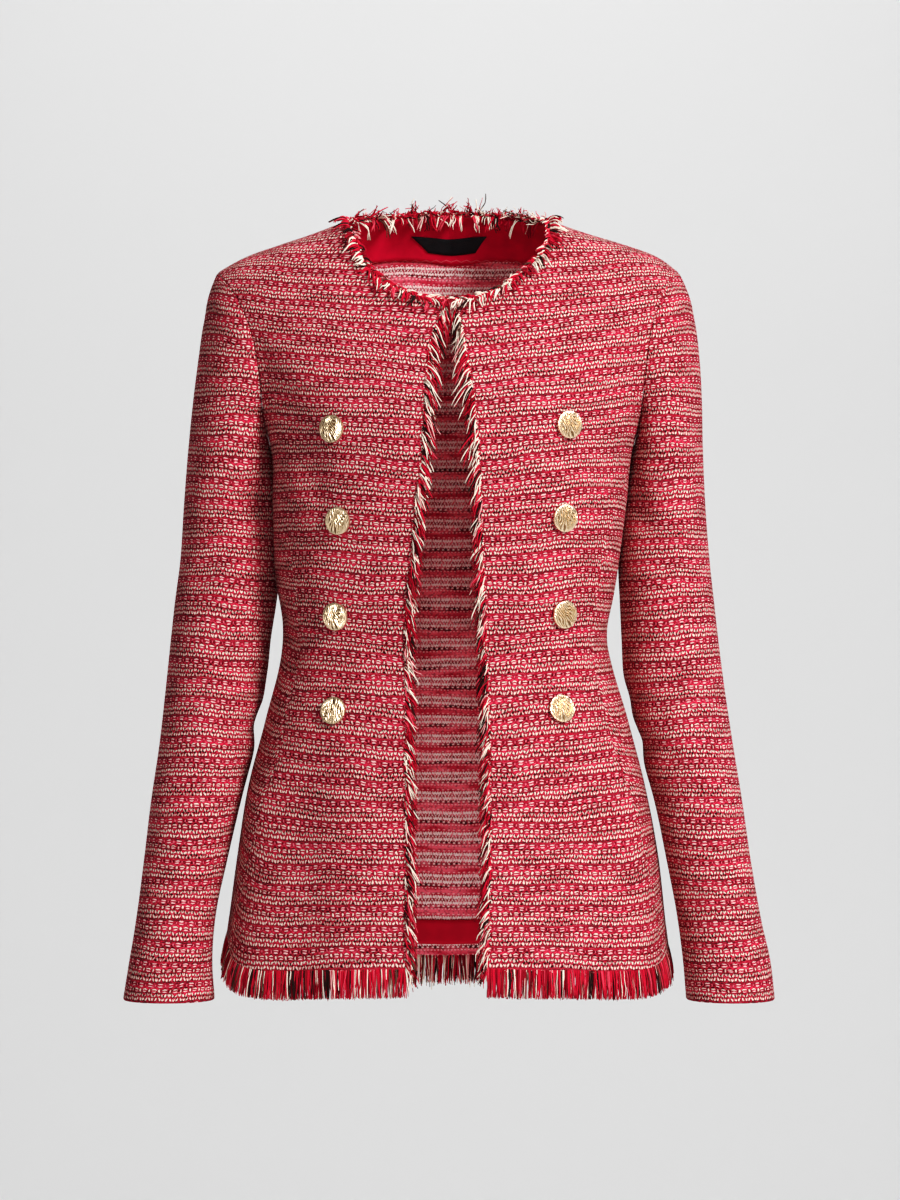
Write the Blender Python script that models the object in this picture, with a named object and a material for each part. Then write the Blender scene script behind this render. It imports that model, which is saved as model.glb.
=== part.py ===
"""A fitted tweed jacket with fringed edges, worn open and hollow, built from the pieces its maker cuts.

Frame: metres, +Z up, the front faces -Y, and +X is the wearer's left.
The origin is the middle of the neck opening, level with the tops of the shoulder seams.

Every panel is a wall of cloth on one smooth body surface. A place on that surface is an angle round the
body, from the front centre, and a level: -1 at the hem, 0 at the underarm, 1 on the ridge of the shoulder.
"""

import math
from collections import namedtuple

import bmesh
import bpy
import numpy as np
from mathutils import Vector
from mathutils.bvhtree import BVHTree

MM = 0.001

# Cloth and seams
WALL = 2.4 * MM
SEAM_GAP = 0.3 * MM
FULL_MITRE, NO_MITRE = 0.3, -0.2  # how alike two walls at a seam face, for a shared mitre or none
LEAST_MITRE = 0.9
FACING_WALL = 1.0 * MM
LABEL_WALL = 1.0 * MM
LAID_GAP = 0.4 * MM

# Heights on the body
UNDERARM = -0.190
SHOULDER_TIP = -0.041
NECK_SIDE = 0.0045
NECK_FRONT = -0.0705
NECK_BACK = 0.0150
NECK_HALF_WIDTH = 0.086
CUFF = -0.662
SKIRT_LENGTH = 0.440  # underarm to hem, where the tables by height are read for a level
SLEEVE_HEAD_END = -0.270  # below this the sleeve is a plain tube
UNDERARM_EASE = 1.5  # how much later the sleeve's rings drop at the underarm than at the shoulder

# Roundness: how boxy the body's plan is, and how tightly the cloth turns over the shoulder
PLAN_POWER = 2.3
SHOULDER_POWER = 5.0
HEIGHT_ROUNDS = 30  # a height over the shoulder depends on itself, so it is found by repeating
CURVE_SAMPLES = 601
FOLD_SAMPLES = 9
SHARP_ANGLE = 40.0
MERGE_WITHIN = 0.01 * MM

# Steps of the panels' grids: columns that reach the neck end at this angle on the underarm row
NECK_FOOT_ANGLE = 44.0
RELAX_ROUNDS = 9
NECK_STEPS = 6
SHOULDER_STEPS = 5
UPPER_STEPS = 10
LOWER_STEPS = 13
SLEEVE_HEAD_STEPS = 7
SLEEVE_ARM_STEPS = 14

# Facings and label: the hem band stands above the hem, and the label above the neck facing's foot
FACING_ROWS = 2
HEM_BAND_TOP = 0.032
HEM_BAND_FOOT = 0.011
LABEL_FOOT = 0.0066
LABEL_TOP = 0.0236
LABEL_TOP_HALF_WIDTH = 0.034
LABEL_FOOT_HALF_WIDTH = 0.021
LABEL_COLUMNS = 5

# Fringe: locks stand on a narrow woven strip beside the cloth's edge
STRIP_WIDTH = 3.0 * MM
Strip = namedtuple("Strip", "wall gap")
FLAT_STRIP = Strip(2.0 * MM, SEAM_GAP)
NECK_STRIP = Strip(3.4 * MM, 0.7 * MM)
LOCK_TIP = 0.35
EDGE_LOCK_REACH = 0.55
OPENING_CLEARANCE = 2.0 * MM
HEM_LOCKS, EDGE_LOCKS, NECK_LOCKS = 3, 2, 2  # in each step of the edge's grid
EDGE_ROOT, NECK_ROOT = 0.50, 0.55  # the share of the strip that a lock roots on

# How the locks lean: their steps off the cloth and past its edge, and how far each strays
Comb = namedtuple("Comb", "off past off_spread along_spread length length_spread")
HEM_COMB = Comb(0.04, 1.00, 0.05, 0.10, 0.0180, 0.07)
EDGE_COMB = Comb(0.10, 1.00, 0.08, 0.00, 0.0190, 0.08)
NECK_BACK_COMB = Comb(0.10, 1.00, 0.35, 0.35, 0.0110, 0.22)
NECK_FRONT_COMB = Comb(1.00, -0.45, 0.00, 0.25, 0.0130, 0.15)

# Buttons
BUTTON_RADIUS = 0.0115
BUTTON_RIM = 1.9 * MM
BUTTON_EDGE = 0.8 * MM
BUTTON_DOME = 3.0 * MM
SHANK_RADIUS = 3.0 * MM
SHANK_HEIGHT = 1.6 * MM
BUTTON_SIDES = 16

Section = namedtuple("Section", "height half_width front back centre")
BODY = [
    Section(-0.660, 0.1970, 0.133, 0.138, 0.0000),
    Section(-0.600, 0.1880, 0.131, 0.134, 0.0008),
    Section(-0.540, 0.1805, 0.128, 0.129, 0.0015),
    Section(-0.480, 0.1700, 0.121, 0.120, 0.0006),
    Section(-0.425, 0.1557, 0.111, 0.106, 0.0006),
    Section(-0.360, 0.1403, 0.102, 0.093, -0.0004),
    Section(-0.300, 0.1472, 0.107, 0.092, 0.0000),
    Section(-0.240, 0.1520, 0.119, 0.098, 0.0030),
    Section(-0.190, 0.1560, 0.121, 0.104, 0.0050),
    Section(-0.150, 0.1700, 0.113, 0.108, 0.0050),
    Section(-0.100, 0.1930, 0.095, 0.109, 0.0045),
    Section(-0.065, 0.2140, 0.082, 0.107, 0.0025),
    Section(-0.045, 0.2245, 0.076, 0.105, 0.0015),
    Section(-0.020, 0.2380, 0.071, 0.103, 0.0055),
    Section(0.000, 0.2470, 0.068, 0.101, 0.0025),
    Section(0.030, 0.2580, 0.065, 0.098, 0.0020),
]

Ridge = namedtuple("Ridge", "reach height")
SHOULDER = [
    Ridge(0.000, 0.0300),
    Ridge(0.045, 0.0230),
    Ridge(0.086, 0.0045),
    Ridge(0.120, -0.0080),
    Ridge(0.150, -0.0175),
    Ridge(0.180, -0.0290),
    Ridge(0.1985, -0.0410),
    Ridge(0.250, -0.0800),
]

Armhole = namedtuple("Armhole", "height front back")
ARMHOLE = [
    Armhole(-0.190, 0.1560, 0.1560),
    Armhole(-0.170, 0.1603, 0.1612),
    Armhole(-0.150, 0.1625, 0.1650),
    Armhole(-0.130, 0.1652, 0.1685),
    Armhole(-0.104, 0.1685, 0.1730),
    Armhole(-0.083, 0.1735, 0.1775),
    Armhole(-0.066, 0.1800, 0.1830),
    Armhole(-0.053, 0.1880, 0.1900),
    Armhole(-0.041, 0.1985, 0.1985),
]

Opening = namedtuple("Opening", "height right left")
FRONT_EDGE = [
    Opening(-0.640, 0.0335, 0.0343),
    Opening(-0.370, 0.0335, 0.0343),
    Opening(-0.325, 0.0325, 0.0330),
    Opening(-0.290, 0.0295, 0.0305),
    Opening(-0.250, 0.0285, 0.0262),
    Opening(-0.215, 0.0255, 0.0235),
    Opening(-0.175, 0.0235, 0.0198),
    Opening(-0.140, 0.0215, 0.0165),
    Opening(-0.100, 0.0155, 0.0095),
    Opening(-0.070, 0.0010, 0.0050),
]

Seam = namedtuple("Seam", "height angle")
SIDE_SEAM = [
    Seam(-0.640, 73.0),
    Seam(-0.580, 68.0),
    Seam(-0.520, 63.0),
    Seam(-0.450, 59.0),
    Seam(-0.360, 62.0),
    Seam(-0.300, 60.0),
    Seam(-0.250, 66.0),
    Seam(-0.215, 78.0),
    Seam(-0.190, 90.0),
]

Hem = namedtuple("Hem", "angle height")
HEM = [
    Hem(0.0, -0.6280),
    Hem(30.0, -0.6315),
    Hem(55.0, -0.6340),
    Hem(72.0, -0.6300),
    Hem(90.0, -0.6240),
    Hem(120.0, -0.6290),
    Hem(150.0, -0.6365),
    Hem(180.0, -0.6400),
]

Arm = namedtuple("Arm", "height outer inner middle half_depth")
ARM_RIGHT = [
    Arm(-0.662, 0.2750, 0.1970, -0.034, 0.0400),
    Arm(-0.631, 0.2700, 0.1990, -0.034, 0.0380),
    Arm(-0.590, 0.2635, 0.1962, -0.031, 0.0375),
    Arm(-0.545, 0.2580, 0.1870, -0.025, 0.0395),
    Arm(-0.494, 0.2525, 0.1755, -0.015, 0.0430),
    Arm(-0.445, 0.2460, 0.1632, -0.004, 0.0455),
    Arm(-0.400, 0.2415, 0.1548, 0.005, 0.0475),
    Arm(-0.356, 0.2374, 0.1512, 0.013, 0.0495),
    Arm(-0.322, 0.2340, 0.1482, 0.018, 0.0510),
    Arm(-0.290, 0.2300, 0.1464, 0.021, 0.0520),
    Arm(-0.240, 0.2265, 0.1486, 0.019, 0.0540),
    Arm(-0.190, 0.2224, 0.1520, 0.012, 0.0560),
    Arm(-0.150, 0.2184, 0.1530, 0.007, 0.0570),
    Arm(-0.115, 0.2142, 0.1530, 0.003, 0.0570),
    Arm(-0.081, 0.2095, 0.1530, 0.001, 0.0560),
    Arm(-0.041, 0.1990, 0.1530, 0.000, 0.0540),
]
ARM_LEFT = [
    Arm(-0.662, 0.2800, 0.2045, -0.034, 0.0400),
    Arm(-0.631, 0.2765, 0.2020, -0.034, 0.0380),
    Arm(-0.590, 0.2678, 0.1968, -0.031, 0.0375),
    Arm(-0.545, 0.2603, 0.1885, -0.025, 0.0395),
    Arm(-0.494, 0.2535, 0.1783, -0.015, 0.0430),
    Arm(-0.445, 0.2462, 0.1645, -0.004, 0.0455),
    Arm(-0.400, 0.2400, 0.1538, 0.005, 0.0475),
    Arm(-0.356, 0.2348, 0.1514, 0.013, 0.0495),
    Arm(-0.322, 0.2313, 0.1500, 0.018, 0.0510),
    Arm(-0.290, 0.2280, 0.1500, 0.021, 0.0520),
    Arm(-0.240, 0.2240, 0.1558, 0.019, 0.0540),
    Arm(-0.190, 0.2215, 0.1615, 0.012, 0.0560),
    Arm(-0.150, 0.2205, 0.1640, 0.007, 0.0570),
    Arm(-0.115, 0.2184, 0.1640, 0.003, 0.0570),
    Arm(-0.081, 0.2140, 0.1640, 0.001, 0.0560),
    Arm(-0.041, 0.2010, 0.1640, 0.000, 0.0540),
]
ARMS = {"right": ARM_RIGHT, "left": ARM_LEFT}
SIDES = {"right": -1, "left": 1}

Button = namedtuple("Button", "side across height")
BUTTONS = [
    Button("right", -0.0943, -0.1789),
    Button("right", -0.0892, -0.2557),
    Button("right", -0.0917, -0.3358),
    Button("right", -0.0934, -0.4152),
    Button("left", 0.1020, -0.1755),
    Button("left", 0.0986, -0.2532),
    Button("left", 0.0986, -0.3342),
    Button("left", 0.0961, -0.4135),
]

Finish = namedtuple("Finish", "colour roughness metallic")
TWEED = Finish((0.55, 0.06, 0.12), 0.90, 0.0)
RED_CLOTH = Finish((0.50, 0.01, 0.03), 0.80, 0.0)
BLACK_SATIN = Finish((0.02, 0.02, 0.025), 0.45, 0.0)
YARN = Finish((0.60, 0.10, 0.12), 0.85, 0.0)
GOLD = Finish((0.83, 0.62, 0.30), 0.25, 1.0)

# The largest folds: a trough, or a ridge where depth is below zero, between two places.
# On the body a place is an angle (to the wearer's left) and a level; on a sleeve, a turn and a height.
Fold = namedtuple("Fold", "piece start_turn start_rise end_turn end_rise width depth")
FOLDS = [
    Fold("body", -66, 0.30, -46, -0.06, 0.020, 0.0032),
    Fold("body", 64, 0.36, 45, 0.02, 0.022, 0.0028),
    Fold("body", -84, -0.34, -66, -0.40, 0.016, 0.0030),
    Fold("body", 86, -0.37, 66, -0.41, 0.016, 0.0026),
    Fold("body", -42, -0.66, -37, -1.02, 0.026, 0.0040),
    Fold("body", -66, -0.70, -62, -1.02, 0.026, -0.0030),
    Fold("body", 36, -0.68, 33, -1.02, 0.028, 0.0034),
    Fold("body", 62, -0.66, 58, -1.02, 0.026, -0.0032),
    Fold("body", 112, -0.68, 116, -1.02, 0.028, 0.0042),
    Fold("body", -116, -0.64, -120, -1.02, 0.028, 0.0046),
    Fold("body", 150, -0.72, 153, -1.02, 0.030, -0.0034),
    Fold("body", -154, -0.70, -158, -1.02, 0.030, -0.0030),
    Fold("body", 140, -0.33, 174, -0.36, 0.018, 0.0034),
    Fold("body", -174, -0.42, -138, -0.38, 0.018, 0.0038),
    Fold("body", 118, 0.28, 140, -0.02, 0.022, 0.0034),
    Fold("body", -116, 0.32, -138, 0.04, 0.022, 0.0030),
    Fold("right", 168, -0.395, 100, -0.372, 0.014, 0.0040),
    Fold("right", 196, -0.430, 112, -0.425, 0.014, 0.0036),
    Fold("right", 128, -0.238, 62, -0.300, 0.016, 0.0034),
    Fold("right", -128, -0.260, -60, -0.330, 0.018, 0.0034),
    Fold("right", -150, -0.430, -70, -0.460, 0.016, 0.0032),
    Fold("right", 60, -0.560, 120, -0.585, 0.014, 0.0022),
    Fold("left", 172, -0.405, 96, -0.395, 0.014, 0.0042),
    Fold("left", 190, -0.442, 118, -0.452, 0.014, 0.0034),
    Fold("left", 126, -0.250, 58, -0.325, 0.016, 0.0030),
    Fold("left", -126, -0.245, -64, -0.300, 0.018, 0.0036),
    Fold("left", -146, -0.410, -66, -0.432, 0.016, 0.0034),
    Fold("left", 58, -0.540, 124, -0.572, 0.014, 0.0024),
]


# ---- Helpers


def unit(vectors):
    return vectors / np.linalg.norm(vectors, axis=-1, keepdims=True)


def distance(points, line):
    """How far points lie from a run of straight steps."""
    nearest = np.full(points.shape[:-1], np.inf)
    for start, end in zip(line, line[1:]):
        step = end - start
        share = np.clip(np.sum((points - start) * step, axis=-1) / np.sum(step * step), 0, 1)
        gap = np.linalg.norm(points - start - share[..., None] * step, axis=-1)
        nearest = np.minimum(nearest, gap)
    return nearest


def fold(points, outward, piece, surface):
    """Sinks the piece's troughs into its points, and raises its ridges."""
    depth = 0
    for row in FOLDS:
        if row.piece == piece:
            turns = np.linspace(row.start_turn, row.end_turn, FOLD_SAMPLES)
            line = surface(turns, np.linspace(row.start_rise, row.end_rise, FOLD_SAMPLES))
            depth = depth + row.depth * np.exp(-((distance(points, line) / row.width) ** 2))
    return points - outward * np.expand_dims(depth, -1)


# ---- The body's surface


def smooth(table, column, at):
    """A column of a table at any place in its first column, on a smooth curve through the rows."""
    rows = sorted(table)
    knots = np.array([row[0] for row in rows])
    values = np.array([getattr(row, column) for row in rows])
    slopes = np.gradient(values, knots)
    at = np.clip(np.asarray(at, float), knots[0], knots[-1])
    k = np.clip(np.searchsorted(knots, at) - 1, 0, len(knots) - 2)
    span = knots[k + 1] - knots[k]
    t = (at - knots[k]) / span
    ahead = values[k] * (1 + 2 * t) * (1 - t) ** 2 + slopes[k] * span * t * (1 - t) ** 2
    behind = values[k + 1] * t**2 * (3 - 2 * t) - slopes[k + 1] * span * t**2 * (1 - t)
    return ahead + behind


def body_point(angle, level):
    """Points on the body, for arrays of angles in degrees and of levels."""
    turn = np.radians(angle)
    across = np.abs(np.sin(turn)) ** (2 / PLAN_POWER)
    deep = np.abs(np.cos(turn)) ** (2 / PLAN_POWER)
    rise = np.sin(np.clip(level, 0, 1) * math.pi / 2)
    hem = smooth(HEM, "height", np.abs(angle))
    height = UNDERARM + np.minimum(level, 0) * (UNDERARM - hem)
    for _ in range(HEIGHT_ROUNDS):
        reach = smooth(BODY, "half_width", height) * across
        ridge = smooth(SHOULDER, "height", reach)
        height = np.where(level > 0, UNDERARM + (ridge - UNDERARM) * rise, height)
    closing = np.sqrt(np.clip(1 - rise**SHOULDER_POWER, 0, 1))
    front = -smooth(BODY, "front", height) * deep * closing
    back = smooth(BODY, "back", height) * deep * closing
    x = smooth(BODY, "centre", height) + np.sign(np.sin(turn)) * reach
    return np.stack([x, np.where(np.cos(turn) >= 0, front, back), height], axis=-1)


def body_normal(angle, level):
    """The outward direction of the body's surface."""
    small_angle, small_level = 0.05, 0.001
    round_it = body_point(angle + small_angle, level) - body_point(angle - small_angle, level)
    on_ridge = np.asarray(level) > 1 - small_level
    above = np.where(on_ridge, level, level + small_level)
    up_it = body_point(angle, above) - body_point(angle, level - small_level)
    over = np.where(np.cos(np.radians(angle)) >= 0, 1.0, -1.0)
    flat = np.stack([0 * over, over, 0 * over], axis=-1)
    up_it = np.where(on_ridge[..., None], flat, up_it)
    return unit(np.cross(round_it, up_it))


def angle_at(reach, height):
    """The angle from the front centre, under 90 degrees, of a place this far out from the body's middle."""
    share = np.clip(reach / smooth(BODY, "half_width", height), 0, 1)
    return np.degrees(np.arcsin(share ** (PLAN_POWER / 2)))


def level_at(reach, height):
    """The level of a height at or above the underarm."""
    share = (height - UNDERARM) / (smooth(SHOULDER, "height", reach) - UNDERARM)
    return np.arcsin(np.clip(share, 0, 1)) * 2 / math.pi


def evenly(points, steps):
    """Places along a run of points, as fractions of the run, that cut it into steps of equal length."""
    lengths = np.linalg.norm(np.diff(points, axis=0), axis=-1)
    travelled = np.concatenate([[0], np.cumsum(lengths)])
    wanted = np.linspace(0, travelled[-1], steps + 1)
    return np.interp(wanted, travelled, np.linspace(0, 1, len(points)))


def even_curve(curve, steps):
    """Angles and levels along a curve on the body, a function of a fraction, at equal steps."""
    angle, level = curve(np.linspace(0, 1, CURVE_SAMPLES))
    return np.stack(curve(evenly(body_point(angle, level), steps)))


# ---- The panels' edges, each a function of a fraction that gives an angle and a level


def armhole_curve(part):
    def curve(share):
        height = UNDERARM + (SHOULDER_TIP - UNDERARM) * (1 - np.cos(math.pi * share)) / 2
        reach = smooth(ARMHOLE, part, height)
        level = np.where(share >= 1, 1.0, level_at(reach, height))
        return angle_at(reach, height), np.where(share <= 0, 0.0, level)

    return curve


def neck_curve(part, start):
    """From the middle of the front or back, at a distance from the centre, to the shoulder seam."""

    def curve(share):
        turn = math.acos(start / NECK_HALF_WIDTH) * (1 - share)
        reach = NECK_HALF_WIDTH * np.cos(turn)
        if part == "front":
            height = NECK_SIDE - (NECK_SIDE - NECK_FRONT) * np.sin(turn)
        else:
            height = NECK_SIDE + (NECK_BACK - NECK_SIDE) * np.sin(turn) ** 2
        return angle_at(reach, height), np.where(share >= 1, 1.0, level_at(reach, height))

    return curve


def shoulder_curve(share):
    tip = smooth(ARMHOLE, "front", SHOULDER_TIP)
    reach = NECK_HALF_WIDTH + (tip - NECK_HALF_WIDTH) * share
    height = smooth(SHOULDER, "height", reach)
    return angle_at(reach, height), np.ones_like(share)


def front_edge_curve(side):
    def curve(share):
        height = UNDERARM + (NECK_FRONT - UNDERARM) * share
        reach = smooth(FRONT_EDGE, side, height)
        return angle_at(reach, height), level_at(reach, height)

    return curve


def underarm_curve(start, end):
    def curve(share):
        return start + (end - start) * share, 0 * share

    return curve


def back_centre_curve(share):
    top = level_at(0.0, NECK_BACK)
    return 0 * share, top * share


# ---- Grids of places: rows run up the body and columns run from its middle to its side


def fill_between(foot, head, middle, side):
    """A grid between four edges that meet at its corners (a Coons patch)."""
    u = np.linspace(0, 1, foot.shape[1])[None, None, :]
    v = np.linspace(0, 1, middle.shape[1])[None, :, None]
    rows = (1 - v) * foot[:, None, :] + v * head[:, None, :]
    columns = (1 - u) * middle[:, :, None] + u * side[:, :, None]
    low = (1 - u) * foot[:, 0][:, None, None] + u * foot[:, -1][:, None, None]
    high = (1 - u) * head[:, 0][:, None, None] + u * head[:, -1][:, None, None]
    return rows + columns - (1 - v) * low - v * high


def relax(grid):
    """Moves the inside of a grid of angles and levels so that its lines cross evenly and nowhere fold.

    Each round takes a point to the mean of its neighbours, weighed by how far the grid's steps reach on
    the body (the rule for elliptic grids).
    """
    for _ in range(RELAX_ROUNDS):
        points = body_point(*grid)
        across = (points[1:-1, 2:] - points[1:-1, :-2]) / 2
        up = (points[2:, 1:-1] - points[:-2, 1:-1]) / 2
        across_weight, up_weight = np.sum(up * up, axis=-1), np.sum(across * across, axis=-1)
        shear = np.sum(up * across, axis=-1)
        beside = grid[:, 1:-1, 2:] + grid[:, 1:-1, :-2]
        above = grid[:, 2:, 1:-1] + grid[:, :-2, 1:-1]
        twist = (grid[:, 2:, 2:] - grid[:, 2:, :-2] - grid[:, :-2, 2:] + grid[:, :-2, :-2]) / 4
        total = across_weight * beside + up_weight * above - 2 * shear * twist
        grid[:, 1:-1, 1:-1] = total / (2 * (across_weight + up_weight))
    return grid


def half_panel(part, side):
    """Angles and levels of a front, or of half a back, from its middle line to its side."""
    if part == "front":
        middle = even_curve(front_edge_curve(side), UPPER_STEPS)
        start = float(smooth(FRONT_EDGE, side, NECK_FRONT))
    else:
        middle = even_curve(back_centre_curve, UPPER_STEPS)
        start = 0.0
    armhole = even_curve(armhole_curve(part), UPPER_STEPS)
    neck = even_curve(neck_curve(part, start), NECK_STEPS)
    shoulder = even_curve(shoulder_curve, SHOULDER_STEPS)
    head = np.concatenate([neck, shoulder[:, 1:]], axis=1)
    columns = head.shape[1] - 1

    under_neck = even_curve(underarm_curve(middle[0, 0], NECK_FOOT_ANGLE), NECK_STEPS)
    under_shoulder = even_curve(underarm_curve(NECK_FOOT_ANGLE, 90.0), SHOULDER_STEPS)
    foot = np.concatenate([under_neck, under_shoulder[:, 1:]], axis=1)
    upper = relax(fill_between(foot, head, middle, armhole))
    spread = (foot[0] - foot[0, 0]) / (foot[0, -1] - foot[0, 0])
    lower = []
    for level in np.linspace(-1, 0, LOWER_STEPS + 1)[:-1]:
        height = UNDERARM + level * SKIRT_LENGTH
        inner = angle_at(smooth(FRONT_EDGE, side, height), height) if part == "front" else 0.0
        seam = smooth(SIDE_SEAM, "angle", height)
        outer = seam if part == "front" else 180 - seam
        lower.append([inner + (outer - inner) * spread, np.full(columns + 1, level)])
    lower = np.array(lower).transpose(1, 0, 2)
    angle, level = np.concatenate([lower, upper], axis=1)
    return (angle if part == "front" else 180 - angle), level


def body_grid(angle, level, side):
    """A panel's points and outward directions."""
    angle = angle * SIDES[side]
    outward = body_normal(angle, level)
    return fold(body_point(angle, level), outward, "body", body_point), outward


def front_grid(side):
    return body_grid(*half_panel("front", side), side)


def back_grid():
    """The whole back: columns from the wearer's right to the wearer's left."""
    angle, level = half_panel("back", "left")
    left = body_grid(angle, level, "left")
    right = body_grid(angle[:, :0:-1], level[:, :0:-1], "right")
    return tuple(np.concatenate([r, l], axis=1) for r, l in zip(right, left))


# ---- Sleeves


def arm_point(side, turn, height):
    """A place on the straight part of a sleeve: turn 0 is its outer side, 90 degrees its front."""
    table = ARMS[side]
    outer, inner = smooth(table, "outer", height), smooth(table, "inner", height)
    x = (outer + inner) / 2 + (outer - inner) / 2 * np.cos(turn)
    y = smooth(table, "middle", height) - smooth(table, "half_depth", height) * np.sin(turn)
    return np.stack([SIDES[side] * x, y, height + 0 * turn], axis=-1)


def armhole_loop(front, back_half):
    """A grid's values once round the armhole, up the front from the underarm and down the back."""
    up = front[LOWER_STEPS:, -1]
    down = back_half[LOWER_STEPS:, -1]
    return np.concatenate([up, down[-2:0:-1]])


def sleeve_grid(side, loop):
    """Rings of points from the armhole to the cuff."""
    top, foot = loop[:, 2].max(), loop[:, 2].min()
    lift = np.clip((2 * loop[:, 2] - top - foot) / (top - foot), -1, 1)
    turn = np.arccos(lift)
    turn = np.where(np.arange(len(loop)) <= UPPER_STEPS, turn, -turn)
    away = loop - arm_point(side, turn, loop[:, 2])
    rings = [loop]
    for step in range(1, SLEEVE_HEAD_STEPS + 1):
        t = step / SLEEVE_HEAD_STEPS
        outer = top + (SLEEVE_HEAD_END - top) * t
        inner = foot + (SLEEVE_HEAD_END - foot) * t**UNDERARM_EASE
        height = (outer + inner) / 2 + (outer - inner) / 2 * np.cos(turn)
        rings.append(arm_point(side, turn, height) + away * (1 - t) ** 2 * np.array([1, 1, 0]))
    for step in range(1, SLEEVE_ARM_STEPS + 1):
        height = SLEEVE_HEAD_END + (CUFF - SLEEVE_HEAD_END) * step / SLEEVE_ARM_STEPS
        rings.append(arm_point(side, turn, height + 0 * turn))
    rings = np.array(rings)
    outward = ring_outward(rings, side)

    def surface(turns, heights):
        return arm_point(side, np.radians(turns), heights)

    rings[1:] = fold(rings[1:], outward[1:], side, surface)
    return rings, ring_outward(rings, side)


def ring_outward(rings, side):
    """Outward directions of a tube's rings."""
    round_it = np.roll(rings, -1, axis=1) - np.roll(rings, 1, axis=1)
    along = np.gradient(rings, axis=0)
    return unit(np.cross(along, round_it)) * SIDES[side]


# ---- Solids


def build(name, corners, faces, finish):
    """An object from points and faces, its faces cut the same way on every piece and turned outwards."""
    bm = bmesh.new()
    places = [bm.verts.new(Vector(corner)) for corner in corners]
    for face in faces:
        bm.faces.new([places[i] for i in face])
    return finished(name, bm, finish)


def finished(name, bm, finish):
    mesh = bpy.data.meshes.new(name)
    bmesh.ops.triangulate(bm, faces=bm.faces, quad_method="FIXED")
    bmesh.ops.recalc_face_normals(bm, faces=bm.faces)
    bm.to_mesh(mesh)
    bm.free()
    mesh.shade_smooth()
    mesh.set_sharp_from_angle(angle=math.radians(SHARP_ANGLE))
    mesh.materials.append(material(name, finish))
    piece = bpy.data.objects.new(name, mesh)
    bpy.context.collection.objects.link(piece)
    return piece


def material(name, finish):
    made = bpy.data.materials.new(name)
    made.use_nodes = True
    shader = made.node_tree.nodes["Principled BSDF"]
    shader.inputs["Base Color"].default_value = (*finish.colour, 1)
    shader.inputs["Roughness"].default_value = finish.roughness
    shader.inputs["Metallic"].default_value = finish.metallic
    return made


def wall(name, outer, inner, finish, tube=False):
    """A wall of cloth between two grids of points; a tube's columns join round."""
    rows, columns = outer.shape[:2]
    corners = list(outer.reshape(-1, 3)) + list(inner.reshape(-1, 3))
    shift = rows * columns
    last = columns if tube else columns - 1

    def at(row, column):
        return row * columns + column % columns

    faces = []
    for row in range(rows - 1):
        for column in range(last):
            quad = [at(row, column), at(row, column + 1), at(row + 1, column + 1), at(row + 1, column)]
            faces += [quad, [corner + shift for corner in quad]]
    rims = [(at(row, column), at(row, column + 1)) for row in (0, rows - 1) for column in range(last)]
    if not tube:
        ends = (0, columns - 1)
        rims += [(at(row, column), at(row + 1, column)) for column in ends for row in range(rows - 1)]
    faces += [[a, b, b + shift, a + shift] for a, b in rims]
    return build(name, corners, faces, finish)


# ---- Seams


def pull_in(points, through, line, away):
    """Moves a seam line of a grid back from the seam by half the seam's gap."""
    run = points[line]
    back = unit(np.cross(np.gradient(run, axis=0), through[line]))
    sign = np.sign(np.sum(back * (points[away] - run)))
    points[line] = run + back * sign * SEAM_GAP / 2


def armhole_seam(side, loop, body_out, sleeve_out):
    """The steps through the body's and the sleeve's walls at the armhole, and half the gap across it.

    Where the cloth bends little the two rims share one mitre. Under the arm it folds back on itself, and
    each wall there keeps its own thickness.
    """
    along = unit(np.roll(loop, -1, axis=0) - np.roll(loop, 1, axis=0))
    into_body = np.cross(body_out, along) * SIDES[side]
    into_sleeve = np.cross(along, sleeve_out) * SIDES[side]
    bend = np.sum(body_out * sleeve_out, axis=-1, keepdims=True)
    own = np.clip((FULL_MITRE - bend) / (FULL_MITRE - NO_MITRE), 0, 1)
    mitre = (body_out + sleeve_out) / np.maximum(1 + bend, LEAST_MITRE)
    body_step = mitre * (1 - own) + body_out * own
    sleeve_step = mitre * (1 - own) + sleeve_out * own
    apart = (into_sleeve - into_body) * (1 - own) + (body_out - sleeve_out) * own
    return body_step * WALL, sleeve_step * WALL, unit(apart) * SEAM_GAP / 2


# ---- The cut panels


def cut_panels():
    """Grids of the panels: the outer points, and the step from the inner points out through the wall."""
    fronts = {side: front_grid(side) for side in SIDES}
    back_points, back_out = back_grid()
    middle = (back_points.shape[1] - 1) // 2
    panels = {f"front_{side}": [points, out * WALL] for side, (points, out) in fronts.items()}
    panels["back"] = [back_points, back_out * WALL]
    for side, sign in SIDES.items():
        front_points, front_out = fronts[side]
        half = slice(middle, None) if sign > 0 else slice(middle, None, -1)
        loop = armhole_loop(front_points, back_points[:, half])
        body_out = unit(armhole_loop(front_out, back_out[:, half]))
        rings, ring_out = sleeve_grid(side, loop)
        body_step, sleeve_step, apart = armhole_seam(side, loop, body_out, ring_out[0])
        steps = ring_out * WALL
        steps[0] = sleeve_step
        rings[0] = loop + apart
        panels[f"sleeve_{side}"] = [rings, steps]
        up = np.arange(UPPER_STEPS + 1)
        down = -up
        last = -1 if sign > 0 else 0
        for panel, column, order in ((f"front_{side}", -1, up), ("back", last, down)):
            points, through = panels[panel]
            points[LOWER_STEPS:, column] = (loop - apart)[order]
            through[LOWER_STEPS:, column] = body_step[order]
    pull_in_seams(panels)
    return panels


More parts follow.
